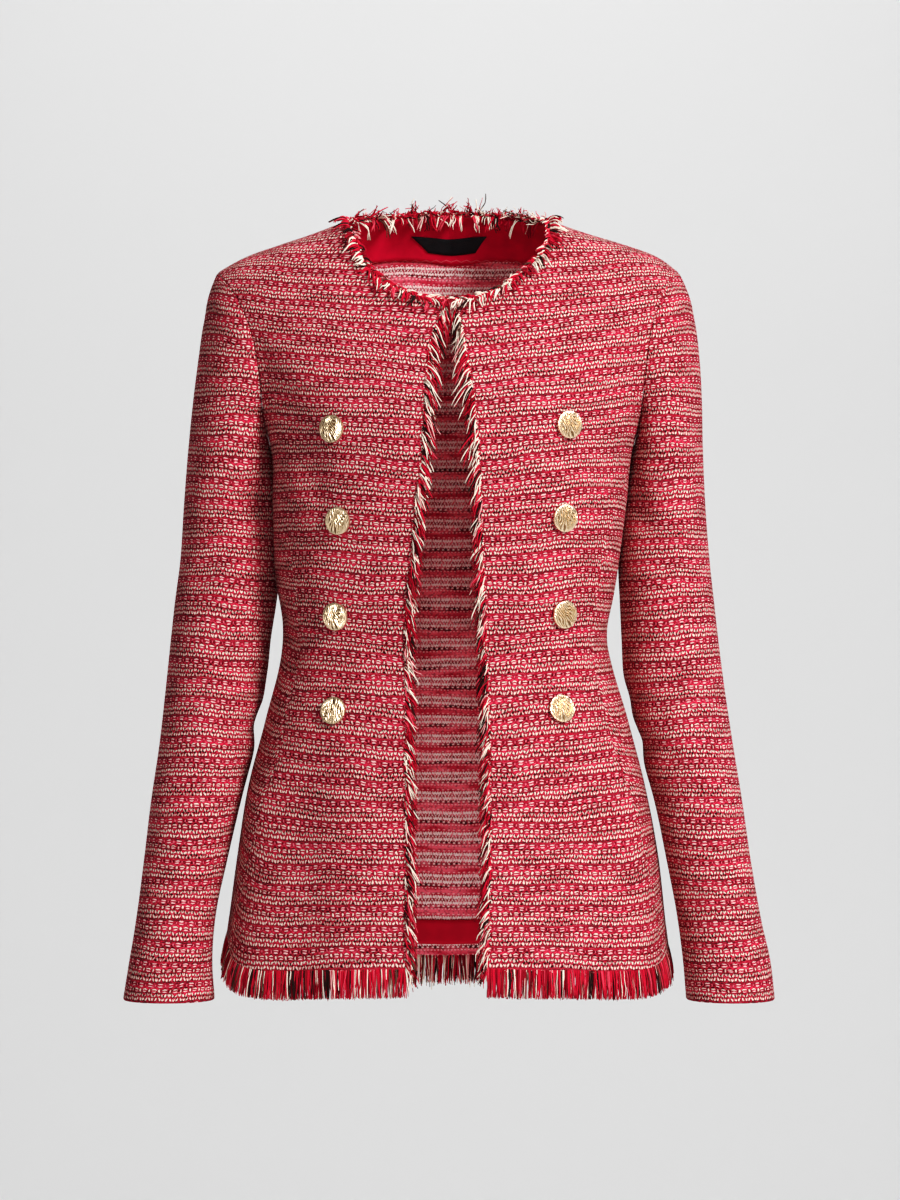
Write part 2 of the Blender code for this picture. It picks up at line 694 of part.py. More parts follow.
def pull_in_seams(panels):
    low, neck, shoulder = slice(0, LOWER_STEPS + 1), slice(NECK_STEPS, None), slice(0, SHOULDER_STEPS + 1)
    for side in SIDES:
        pull_in(*panels[f"front_{side}"], (low, -1), (low, -2))
        pull_in(*panels[f"front_{side}"], (-1, neck), (-2, neck))
    far = slice(-SHOULDER_STEPS - 1, None)
    for column, beside, ridge in ((0, 1, shoulder), (-1, -2, far)):
        pull_in(*panels["back"], (low, column), (low, beside))
        pull_in(*panels["back"], (-1, ridge), (-2, ridge))


# ---- What lies on a panel


def laid(panel, rows, columns, gap, thickness, name, finish):
    """A piece that lies inside a panel, made from the panel's own points moved in.

    Rows and columns are places in the panel's grid, and may fall between its points.
    """
    points, through = panel
    row, column = np.broadcast_arrays(np.array(rows)[:, None], columns)
    near = between(points, row, column)
    inward = -unit(between(through, row, column))
    outer = near + inward * (WALL + gap)
    return wall(name, outer, outer + inward * thickness, finish)


def between(grid, row, column):
    """Values of a grid at places between its points."""
    row = np.mod(row, grid.shape[0])
    column = np.mod(column, grid.shape[1])
    r = np.clip(np.floor(row).astype(int), 0, grid.shape[0] - 2)
    c = np.clip(np.floor(column).astype(int), 0, grid.shape[1] - 2)
    v, u = (row - r)[..., None], (column - c)[..., None]
    foot = grid[r, c] * (1 - u) + grid[r, c + 1] * u
    head = grid[r + 1, c] * (1 - u) + grid[r + 1, c + 1] * u
    return foot * (1 - v) + head * v


def facings(panels):
    points, _ = back = panels["back"]
    rows, columns = points.shape[:2]
    middle = (columns - 1) // 2
    edge = NECK_STEPS + 1
    across = np.arange(middle - edge, middle + edge + 1, dtype=float)
    laid(back, range(rows - 1 - FACING_ROWS, rows), across, LAID_GAP, FACING_WALL, "neck_facing", RED_CLOTH)

    first_row = np.linalg.norm(points[1, middle] - points[0, middle])
    band = [HEM_BAND_FOOT / first_row, HEM_BAND_TOP / first_row]
    laid(back, band, np.arange(columns, dtype=float), LAID_GAP, FACING_WALL, "hem_facing", RED_CLOTH)

    row = rows - 1 - FACING_ROWS
    row_height = np.linalg.norm(points[row + 1, middle] - points[row, middle])
    label_rows = row + np.array([LABEL_FOOT, LABEL_TOP]) / row_height
    reaches = np.abs(points[row, middle:, 0] - points[row, middle, 0])
    ends = np.interp([LABEL_FOOT_HALF_WIDTH, LABEL_TOP_HALF_WIDTH], reaches, np.arange(len(reaches)))
    across = middle + np.array([np.linspace(-end, end, LABEL_COLUMNS) for end in ends])
    gap = LAID_GAP + FACING_WALL + SEAM_GAP
    laid(back, label_rows, across, gap, LABEL_WALL, "label", BLACK_SATIN)


# ---- Fringe


Lock = namedtuple("Lock", "face direction length")


def fringe(name, run, outward, beyond, strip, share, locks):
    """A strip beside a panel's edge, with tapered locks that stand on it.

    run holds the middle of the cloth's edge, outward and beyond the directions off the cloth and past its
    edge. locks holds a list of locks for each step of the run, and share is the part that they root on.
    """
    bm = bmesh.new()
    roots = []
    rings = [strip_ring(bm, run, outward, beyond, strip, 0)]
    for step, group in enumerate(locks):
        for number, lock in enumerate(group):
            stops = [(number + 1) / len(group)]
            if share < 1:
                stops.insert(0, (number + share) / len(group))
            for stop in stops:
                rings.append(strip_ring(bm, run, outward, beyond, strip, step + stop))
                faces = strip_faces(bm, rings[-2], rings[-1])
                if lock and stop == stops[0]:
                    roots.append((faces[lock.face], lock))
        if not group:
            rings.append(strip_ring(bm, run, outward, beyond, strip, step + 1))
            strip_faces(bm, rings[-2], rings[-1])
    bm.faces.new(rings[0])
    bm.faces.new(rings[-1])
    for face, lock in roots:
        grown = bmesh.ops.extrude_discrete_faces(bm, faces=[face])["faces"][0]
        middle = grown.calc_center_median()
        for corner in grown.verts:
            corner.co = middle + (corner.co - middle) * LOCK_TIP + Vector(lock.direction) * lock.length
    return finished(name, bm, YARN)


def strip_ring(bm, run, outward, beyond, strip, place):
    """The strip's four corners at a place along the run."""
    step = min(int(place), len(run) - 2)
    share = place - step
    point = run[step] * (1 - share) + run[step + 1] * share
    off = unit(outward[step] * (1 - share) + outward[step + 1] * share) * strip.wall / 2
    past = unit(beyond[step] * (1 - share) + beyond[step + 1] * share)
    near, far = point + past * strip.gap, point + past * (strip.gap + STRIP_WIDTH)
    return [bm.verts.new(Vector(corner)) for corner in (near + off, near - off, far - off, far + off)]


def strip_faces(bm, ring, following):
    """The strip's faces between two rings, by name."""
    names = ("cloth", "inner", "free", "outer")
    corners = zip(names, range(4))
    return {
        name: bm.faces.new([ring[i], ring[(i + 1) % 4], following[(i + 1) % 4], following[i]])
        for name, i in corners
    }


def edge_frame(points, through, line, beside):
    """The middle of the cloth along an edge, with the directions off the cloth and past the edge."""
    run, off = points[line], unit(through[line])
    along = unit(np.gradient(run, axis=0))
    past = np.cross(along, off)
    past = past * np.sign(np.sum(past * (run - points[beside])))
    return run - through[line] / 2, off, unit(past)


def tumble(seed):
    """Small uneven leans, the same on every run."""
    chance = np.random.default_rng(seed)
    return lambda size: chance.uniform(-size, size)


def lock(face, comb, lean, off, past, along):
    """A lock that leans as its comb says, each strayed a little its own way."""
    way = off * (comb.off + lean(comb.off_spread)) + past * comb.past + along * lean(comb.along_spread)
    return Lock(face, unit(way), comb.length * (1 + lean(comb.length_spread)))


def hem_fringe(name, panel, seed):
    run, off, past = edge_frame(*panel, (0, slice(None)), (1, slice(None)))
    lean = tumble(seed)
    locks = []
    for step in range(len(run) - 1):
        along = unit(run[step + 1] - run[step])
        group = [lock("free", HEM_COMB, lean, off[step], past[step], along) for _ in range(HEM_LOCKS)]
        locks.append(group)
    fringe(name, run, off, past, FLAT_STRIP, 1.0, locks)


def edge_fringe(side, panel, seed):
    """Locks that hang slantwise into the front opening, shorter in reach where the two edges draw near."""
    last = LOWER_STEPS + UPPER_STEPS - 1
    line, beside = (slice(0, last + 1), 0), (slice(0, last + 1), 1)
    run, off, past = edge_frame(*panel, line, beside)
    lean = tumble(seed)
    locks = []
    for step in range(last):
        along = unit(run[step + 1] - run[step])
        gap = sum(float(smooth(FRONT_EDGE, name, run[step, 2])) for name in SIDES)
        room = gap / 2 - SEAM_GAP - STRIP_WIDTH - OPENING_CLEARANCE
        inward = min(EDGE_LOCK_REACH, max(room, 0) / EDGE_COMB.length)
        slant = past[step] * inward + np.array([0, 0, -1.0]) * math.sqrt(1 - inward**2)
        count = EDGE_LOCKS if step < LOWER_STEPS else 1
        locks.append([lock("free", EDGE_COMB, lean, off[step], slant, along) for _ in range(count)])
    fringe(f"edge_fringe_{side}", run, off, past, FLAT_STRIP, EDGE_ROOT, locks)


def neck_fringe(panels, seed):
    """One strip round the neck; its locks lie out over the fronts and stand up at the back."""
    frames = []
    middle = (panels["back"][0].shape[1] - 1) // 2
    neck = slice(0, NECK_STEPS + 1)
    across = slice(middle - NECK_STEPS, middle + NECK_STEPS + 1)
    frames.append(edge_frame(*panels["front_right"], (-1, neck), (-2, neck)))
    frames.append(edge_frame(*panels["back"], (-1, across), (-2, across)))
    left = edge_frame(*panels["front_left"], (-1, neck), (-2, neck))
    frames.append([part[::-1] for part in left])
    run, off, past = frames[0]
    for more in frames[1:]:
        joined = []
        for before, after in zip((run, off, past), more):
            joint = (before[-1:] + after[:1]) / 2
            joined.append(np.concatenate([before[:-1], joint, after[1:]]))
        run, off, past = joined
    off, past = unit(off), unit(past)
    lean = tumble(seed)
    locks = []
    for step in range(len(run) - 1):
        along = unit(run[step + 1] - run[step])
        behind = NECK_STEPS <= step < 3 * NECK_STEPS
        face, comb = ("free", NECK_BACK_COMB) if behind else ("outer", NECK_FRONT_COMB)
        locks.append([lock(face, comb, lean, off[step], past[step], along) for _ in range(NECK_LOCKS)])
    fringe("neck_fringe", run, off, past, NECK_STRIP, NECK_ROOT, locks)


# ---- Buttons


def button(name, panel, across, height):
    """A domed disc on a shank, square to the cloth, the shank long enough that the rim stays off it."""
    points, _ = panel
    rows, columns = points.shape[:2]
    corners = [Vector(point) for point in points.reshape(-1, 3)]
    tris = []
    for row in range(rows - 1):
        for column in range(columns - 1):
            a = row * columns + column
            b, c, d = a + 1, a + columns + 1, a + columns
            tris += [(a, b, c), (a, c, d)]
    cloth = BVHTree.FromPolygons(corners, tris)

    def under(radius):
        """Where the cloth lies behind a circle round the button's middle, and how it faces there."""
        turns = [math.tau * side / BUTTON_SIDES for side in range(BUTTON_SIDES)]
        starts = [Vector((across + radius * math.cos(t), -1, height + radius * math.sin(t))) for t in turns]
        return [cloth.ray_cast(start, Vector((0, 1, 0)))[:2] for start in starts]

    near = under(SHANK_RADIUS)
    seat = sum((place for place, _ in near), Vector()) / BUTTON_SIDES
    outward = sum((normal for _, normal in near), Vector()).normalized()
    outward *= 1 if outward.y < 0 else -1
    rim_cloth = max((place - seat).dot(outward) for place, _ in under(BUTTON_RADIUS))
    shank = max(SHANK_HEIGHT, rim_cloth + SEAM_GAP)
    profile = [
        (0, 0),
        (SHANK_RADIUS, 0),
        (SHANK_RADIUS, shank),
        (BUTTON_RADIUS - BUTTON_EDGE, shank),
        (BUTTON_RADIUS, shank + BUTTON_RIM / 2),
        (BUTTON_RADIUS - BUTTON_EDGE, shank + BUTTON_RIM),
        (0, shank + BUTTON_DOME),
    ]
    bm = bmesh.new()
    line = [bm.verts.new((radius, 0, rise)) for radius, rise in profile]
    edges = [bm.edges.new(pair) for pair in zip(line, line[1:])]
    bmesh.ops.spin(
        bm, geom=line + edges, cent=(0, 0, 0), axis=(0, 0, 1), angle=math.tau, steps=BUTTON_SIDES
    )
    bmesh.ops.remove_doubles(bm, verts=bm.verts, dist=MERGE_WITHIN)
    bm.transform(outward.to_track_quat("Z", "Y").to_matrix().to_4x4())
    for corner in bm.verts:
        corner.co += seat + outward * LAID_GAP
    finished(name, bm, GOLD)


# ---- The jacket


def main():
    for old in list(bpy.data.objects):
        bpy.data.objects.remove(old, do_unlink=True)
    panels = cut_panels()
    for name, (points, through) in panels.items():
        wall(name, points, points - through, TWEED, tube=name.startswith("sleeve"))
    facings(panels)
    neck_fringe(panels, seed=5)
    hem_fringe("hem_fringe_back", panels["back"], seed=7)
    for number, side in enumerate(SIDES):
        hem_fringe(f"hem_fringe_{side}", panels[f"front_{side}"], seed=11 + number)
        edge_fringe(side, panels[f"front_{side}"], seed=21 + number)
    counts = {side: 0 for side in SIDES}
    for row in BUTTONS:
        counts[row.side] += 1
        button(f"button_{row.side}_{counts[row.side]}", panels[f"front_{row.side}"], row.across, row.height)


main()
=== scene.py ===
# %% [markdown]
# # A tweed jacket with fringed edges, worn open
#
# This lesson dresses a plain jacket of solid panels. The solids give the size and the place of every
# piece. Each piece is then made again with what the eye looks for: the knit's rows, soft creases, loose
# yarns along the edges, and cast metal buttons.

# %% The frame that everything fits
import math
from collections import namedtuple

import bmesh
import bpy
import numpy as np
from mathutils import Matrix, Vector, noise
from mathutils.bvhtree import BVHTree


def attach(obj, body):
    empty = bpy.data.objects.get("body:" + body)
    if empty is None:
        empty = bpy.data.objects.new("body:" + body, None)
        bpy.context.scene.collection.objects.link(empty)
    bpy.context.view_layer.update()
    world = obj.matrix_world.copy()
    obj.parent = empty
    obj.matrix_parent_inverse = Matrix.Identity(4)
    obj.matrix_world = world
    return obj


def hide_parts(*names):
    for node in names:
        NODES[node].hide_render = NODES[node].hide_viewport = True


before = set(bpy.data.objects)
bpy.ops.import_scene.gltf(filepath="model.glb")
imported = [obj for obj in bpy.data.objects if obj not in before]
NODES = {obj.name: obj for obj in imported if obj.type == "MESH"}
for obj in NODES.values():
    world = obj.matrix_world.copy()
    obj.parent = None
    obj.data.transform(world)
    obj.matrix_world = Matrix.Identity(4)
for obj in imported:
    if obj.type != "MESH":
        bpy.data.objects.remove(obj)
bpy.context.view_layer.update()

MM = 0.001


def named_rows(columns, *rows):
    """Rows whose values can be asked for by their column's name."""
    kind = namedtuple("Row", columns)
    return [kind(*row) for row in rows]


# %% [markdown]
# ## Camera, floor and light
#
# The camera stands level, far off, with a long lens, as in a catalogue: the shape shows with little
# perspective. A floor that curves up into a wall has no line behind the jacket. A real jacket of this kind
# hangs on a figure, so the floor lies where a wearer's feet would be.

# %% Camera
CAMERA_AT = (0.0034, -3.6, -0.322)
CAMERA_LENS = 125.6
SENSOR_WIDTH = 36

camera = bpy.data.objects.new("camera", bpy.data.cameras.new("camera"))
bpy.context.collection.objects.link(camera)
camera.location = CAMERA_AT
camera.rotation_euler = (math.pi / 2, 0, 0)
camera.data.lens = CAMERA_LENS
camera.data.sensor_width = SENSOR_WIDTH
bpy.context.scene.camera = camera
print("camera looks along +Y from", CAMERA_AT)

# %% How the camera renders tones
# A camera darkens deep shade a little more than the eye does, and leaves the rest alone
TOE = [(0.05, 0.027), (0.11, 0.078), (0.19, 0.168), (0.32, 0.318), (0.60, 0.60)]
view = bpy.context.scene.view_settings
view.view_transform = "Standard"
view.use_curve_mapping = True
for place, value in TOE:
    view.curve_mapping.curves[3].points.new(place, value)
view.curve_mapping.update()
print("tones:", len(TOE), "points between black and white")

# %% Floor and backdrop
FLOOR = -1.45
SWEEP_RADIUS = 1.6
SWEEP_BACK = 5.0
SWEEP_WIDTH = 9.0
SWEEP_STEPS = 16
FLOOR_FRONT = -9.0
BACKDROP_TOP = 6.0


def sweep_profile():
    """The floor's line from the front, round the bend and up the wall."""
    line = [(FLOOR_FRONT, FLOOR)]
    for step in range(SWEEP_STEPS + 1):
        turn = math.pi / 2 * step / SWEEP_STEPS
        line.append((SWEEP_BACK - SWEEP_RADIUS + SWEEP_RADIUS * math.sin(turn),
                     FLOOR + SWEEP_RADIUS - SWEEP_RADIUS * math.cos(turn)))
    line.append((SWEEP_BACK, BACKDROP_TOP))
    return line


def make_sweep():
    line = sweep_profile()
    corners = [(side * SWEEP_WIDTH, y, z) for y, z in line for side in (-1, 1)]
    faces = [(2 * i, 2 * i + 1, 2 * i + 3, 2 * i + 2) for i in range(len(line) - 1)]
    mesh = bpy.data.meshes.new("sweep")
    mesh.from_pydata(corners, [], faces)
    mesh.shade_smooth()
    made = bpy.data.objects.new("sweep", mesh)
    bpy.context.collection.objects.link(made)
    return made


sweep = make_sweep()
print("floor at", FLOOR)

# %% Lights
ROOM_LIGHT = 0.20
LAMPS = named_rows(
    "name place aim size power",
    ("key", (2.02, -2.64, 1.30), (0.0, 0.0, -0.22), 1.0, 146),
    ("fill", (0.05, -3.5, 0.0), (0.0, 0.0, -0.35), 1.0, 17.5),
    ("top", (0.3, 0.3, 2.2), (0.0, 0.0, -0.2), 1.5, 20),
    ("wall", (0.0, 2.0, 2.9), (0.0, 4.6, -0.7), 3.0, 86),
)

for row in LAMPS:
    lamp = bpy.data.objects.new(row.name, bpy.data.lights.new(row.name, "AREA"))
    bpy.context.collection.objects.link(lamp)
    lamp.location = row.place
    lamp.rotation_euler = (Vector(row.aim) - Vector(row.place)).to_track_quat("-Z", "Y").to_euler()
    lamp.data.shape = "DISK"
    lamp.data.size = row.size
    lamp.data.energy = row.power

world = bpy.data.worlds.new("studio")
bpy.context.scene.world = world
world.use_nodes = True
world.node_tree.nodes["Background"].inputs["Color"].default_value = (1, 1, 1, 1)
world.node_tree.nodes["Background"].inputs["Strength"].default_value = ROOM_LIGHT
print(len(LAMPS), "soft lamps")

# %% [markdown]
# ## Shader maths as sums
#
# A knit pattern is arithmetic on the cloth's own coordinates. Wrapping a node's socket in a small class
# lets that arithmetic be written as plain sums: each operator adds one Math node.

# %% Sockets that can be added and multiplied


class Socket:
    """An output of a node. Sums on it add Math nodes."""

    def __init__(self, finish, socket):
        self.finish, self.socket = finish, socket

    def math(self, operation, *others):
        return self.finish.node("ShaderNodeMath", [self, *others], operation=operation)

    def __add__(self, other):
        return self.math("ADD", other)

    def __sub__(self, other):
        return self.math("SUBTRACT", other)

    def __mul__(self, other):
        return self.math("MULTIPLY", other)

    def __truediv__(self, other):
        return self.math("DIVIDE", other)

    def __rsub__(self, other):
        return self.finish.node("ShaderNodeMath", [other, self], operation="SUBTRACT")

    def __abs__(self):
        return self.math("ABSOLUTE")

    __radd__ = __add__
    __rmul__ = __mul__

    def part(self):
        """What is left past the whole number."""
        return self.math("FRACT")

    def most(self, other):
        return self.math("MAXIMUM", other)

    def least(self, other):
        return self.math("MINIMUM", other)

    def ramp(self, low, high, bottom=0.0, top=1.0):
        """Eases from bottom to top as the value goes from low to high."""
        values = {0: self, 1: low, 2: high, 3: bottom, 4: top}
        return self.finish.node("ShaderNodeMapRange", values, interpolation_type="SMOOTHSTEP")


class Finish:
    """A material under construction, and the one way it adds nodes."""

    def __init__(self, name, **steady):
        self.material = bpy.data.materials.new(name)
        self.material.use_nodes = True
        self.tree = self.material.node_tree
        self.shader = self.tree.nodes["Principled BSDF"]
        for key, value in steady.items():
            self.shader.inputs[key.replace("_", " ")].default_value = value

    def node(self, kind, values=(), output=0, stops=None, **settings):
        made = self.tree.nodes.new(kind)
        for key, setting in settings.items():
            setattr(made, key, setting)
        if stops:
            made.color_ramp.interpolation = "CONSTANT"
            while len(made.color_ramp.elements) < len(stops):
                made.color_ramp.elements.new(0.5)
            for element, (place, colour) in zip(made.color_ramp.elements, stops):
                element.position, element.color = place, (*colour, 1)
        for key, value in values.items() if isinstance(values, dict) else enumerate(values):
            if isinstance(value, Socket):
                self.tree.links.new(value.socket, made.inputs[key])
            else:
                made.inputs[key].default_value = value
        return Socket(self, made.outputs[output])

    def mix(self, factor, first, second):
        """One colour over another."""
        values = {0: factor}
        for key, colour in ((6, first), (7, second)):
            values[key] = colour if isinstance(colour, Socket) else (*colour, 1)
        return self.node("ShaderNodeMix", values, output=2, data_type="RGBA")

    def noise(self, scale, detail=2.0, vector=None):
        """Soft noise between 0 and 1 over the object, or over another vector."""
        vector = vector or self.node("ShaderNodeTexCoord", output=3)
        values = {"Vector": vector, "Scale": scale, "Detail": detail}
        return self.node("ShaderNodeTexNoise", values)

    def cloth(self):
        """The cloth's own coordinates: as a vector, along the rows and up them."""
        uv = self.node("ShaderNodeUVMap", uv_map="cloth")
        along, up = (self.node("ShaderNodeSeparateXYZ", {"Vector": uv}, output=axis) for axis in (0, 1))
        return uv, along, up

    def wander(self, row, vector):
        return self.noise(row.scale, row.detail, vector=vector) - 0.5

    def streaks(self, scale, detail, vector):
        """Soft noise drawn out along the rows."""
        drawn = self.node("ShaderNodeMapping", {"Vector": vector, "Scale": scale})
        return self.noise(1.0, detail, vector=drawn)

    def show(self, colour, roughness=None, height=None, depth=0.001):
        """Links the varying sockets of the shader."""
        self.tree.links.new(colour.socket, self.shader.inputs["Base Color"])
        if roughness is not None:
            self.tree.links.new(roughness.socket, self.shader.inputs["Roughness"])
        if height is not None:
            bump = self.node("ShaderNodeBump", {"Height": height, "Strength": 1.0, "Distance": depth})
            self.tree.links.new(bump.socket, self.shader.inputs["Normal"])
        return self.material


print("shader tools ready")

# %% [markdown]
# ## The cloth's surface
#
# A worn jacket follows a figure. Its body is one smooth surface, on which a place is an angle round the
# figure (0 at the front, 180 at the back) and a level (-1 at the hem, 0 under the arm, 1 on the ridge of the
# shoulder). The tables hold how wide and how deep the figure is at each height. Panels could be sculpted or
# simulated, but cut lines, seams and the run of the knit all follow from this one surface, so it is written
# down.

# %% Sizes of the figure and the cut
WALL = 2.4 * MM
ARMHOLE_LAP = 1.2 * MM
FULL_MITRE, NO_MITRE = 0.3, -0.2
LEAST_MITRE = 0.9

UNDERARM = -0.190
SHOULDER_TIP = -0.041
NECK_SIDE = 0.0045
NECK_FRONT = -0.0705
NECK_BACK = 0.0150
NECK_HALF_WIDTH = 0.086
CUFF = -0.662
SKIRT_LENGTH = 0.440
SLEEVE_HEAD_END = -0.270
UNDERARM_EASE = 1.5

PLAN_POWER = 2.3
SHOULDER_POWER = 5.0
HEIGHT_ROUNDS = 30
CURVE_SAMPLES = 601
FOLD_SAMPLES = 9

NECK_FOOT_ANGLE = 44.0
RELAX_ROUNDS = 9
NECK_STEPS = 6
SHOULDER_STEPS = 5
UPPER_STEPS = 10
LOWER_STEPS = 13
print("cloth:", WALL / MM, "mm thick")

# %% Tables of the body
BODY = named_rows(
    "height half_width front back centre",
    (-0.660, 0.1970, 0.133, 0.138, 0.0000),
    (-0.600, 0.1880, 0.131, 0.134, 0.0008),
    (-0.540, 0.1805, 0.128, 0.129, 0.0015),
    (-0.480, 0.1700, 0.121, 0.120, 0.0006),
    (-0.425, 0.1557, 0.111, 0.106, 0.0006),
    (-0.360, 0.1403, 0.102, 0.093, -0.0004),
    (-0.300, 0.1472, 0.107, 0.092, 0.0000),
    (-0.240, 0.1520, 0.119, 0.098, 0.0030),
    (-0.190, 0.1560, 0.121, 0.104, 0.0050),
    (-0.150, 0.1700, 0.113, 0.108, 0.0050),
    (-0.100, 0.1930, 0.095, 0.109, 0.0045),
    (-0.065, 0.2140, 0.082, 0.107, 0.0025),
    (-0.045, 0.2245, 0.076, 0.105, 0.0015),
    (-0.020, 0.2380, 0.071, 0.103, 0.0055),
    (0.000, 0.2470, 0.068, 0.101, 0.0025),
    (0.030, 0.2580, 0.065, 0.098, 0.0020),
)

SHOULDER = named_rows(
    "reach height",
    (0.000, 0.0300),
    (0.045, 0.0230),
    (0.086, 0.0045),
    (0.120, -0.0080),
    (0.150, -0.0175),
    (0.180, -0.0290),
    (0.1985, -0.0410),
    (0.250, -0.0800),
)
print(len(BODY), "sections of the body and", len(SHOULDER), "places on the ridge of the shoulder")

# %% Tables of the cut lines
ARMHOLE = named_rows(
    "height front back",
    (-0.190, 0.1560, 0.1560),
    (-0.170, 0.1603, 0.1612),
    (-0.150, 0.1625, 0.1650),
    (-0.130, 0.1652, 0.1685),
    (-0.104, 0.1685, 0.1730),
    (-0.083, 0.1735, 0.1775),
    (-0.066, 0.1800, 0.1830),
    (-0.053, 0.1880, 0.1900),
    (-0.041, 0.1985, 0.1985),
)

FRONT_EDGE = named_rows(
    "height right left",
    (-0.640, 0.0335, 0.0343),
    (-0.370, 0.0335, 0.0343),
    (-0.325, 0.0325, 0.0330),
    (-0.290, 0.0295, 0.0305),
    (-0.250, 0.0285, 0.0262),
    (-0.215, 0.0255, 0.0235),
    (-0.175, 0.0235, 0.0198),
    (-0.140, 0.0215, 0.0165),
    (-0.100, 0.0155, 0.0095),
    (-0.070, 0.0010, 0.0050),
)

SIDE_SEAM = named_rows(
    "height angle",
    (-0.640, 73.0),
    (-0.580, 68.0),
    (-0.520, 63.0),
    (-0.450, 59.0),
    (-0.360, 62.0),
    (-0.300, 60.0),
    (-0.250, 66.0),
    (-0.215, 78.0),
    (-0.190, 90.0),
)

HEM = named_rows(
    "angle height",
    (0.0, -0.6280),
    (30.0, -0.6315),
    (55.0, -0.6340),
    (72.0, -0.6300),
    (90.0, -0.6240),
    (120.0, -0.6290),
    (150.0, -0.6365),
    (180.0, -0.6400),
)

LIFT_MIDDLE, LIFT_SPREAD = 84.0, 15.0
LIFT_RIGHT, LIFT_LEFT = 0.017, 0.005
print("cut lines:", [len(table) for table in (ARMHOLE, FRONT_EDGE, SIDE_SEAM, HEM)], "places")

# %% Tables of the arms
ARM_COLUMNS = "height outer inner middle half_depth"
ARM_RIGHT = named_rows(
    ARM_COLUMNS,
    (-0.662, 0.2750, 0.1970, -0.034, 0.0400),
    (-0.631, 0.2700, 0.1990, -0.034, 0.0380),
    (-0.590, 0.2635, 0.1962, -0.031, 0.0375),
    (-0.545, 0.2580, 0.1870, -0.025, 0.0395),
    (-0.494, 0.2525, 0.1755, -0.015, 0.0430),
    (-0.445, 0.2460, 0.1632, -0.004, 0.0455),
    (-0.400, 0.2415, 0.1548, 0.005, 0.0475),
    (-0.356, 0.2374, 0.1512, 0.013, 0.0495),
    (-0.322, 0.2340, 0.1462, 0.018, 0.0510),
    (-0.290, 0.2300, 0.1428, 0.021, 0.0520),
    (-0.240, 0.2265, 0.1448, 0.019, 0.0540),
    (-0.190, 0.2224, 0.1488, 0.012, 0.0560),
    (-0.150, 0.2184, 0.1515, 0.007, 0.0570),
    (-0.115, 0.2142, 0.1530, 0.003, 0.0570),
    (-0.081, 0.2095, 0.1530, 0.001, 0.0560),
    (-0.041, 0.1990, 0.1530, 0.000, 0.0540),
)
ARM_LEFT = named_rows(
    ARM_COLUMNS,
    (-0.662, 0.2800, 0.2045, -0.034, 0.0400),
    (-0.631, 0.2765, 0.2020, -0.034, 0.0380),
    (-0.590, 0.2678, 0.1968, -0.031, 0.0375),
    (-0.545, 0.2603, 0.1885, -0.025, 0.0395),
    (-0.494, 0.2535, 0.1783, -0.015, 0.0430),
    (-0.445, 0.2462, 0.1645, -0.004, 0.0455),
    (-0.400, 0.2400, 0.1538, 0.005, 0.0475),
    (-0.356, 0.2348, 0.1514, 0.013, 0.0495),
    (-0.322, 0.2313, 0.1500, 0.018, 0.0510),
    (-0.290, 0.2280, 0.1488, 0.021, 0.0520),
    (-0.240, 0.2240, 0.1528, 0.019, 0.0540),
    (-0.190, 0.2215, 0.1585, 0.012, 0.0560),
    (-0.150, 0.2205, 0.1620, 0.007, 0.0570),
    (-0.115, 0.2184, 0.1640, 0.003, 0.0570),
    (-0.081, 0.2140, 0.1640, 0.001, 0.0560),
    (-0.041, 0.2010, 0.1640, 0.000, 0.0540),
)
ARMS = {"right": ARM_RIGHT, "left": ARM_LEFT}
SIDES = {"right": -1, "left": 1}
print(len(ARM_RIGHT), "sections of each arm")
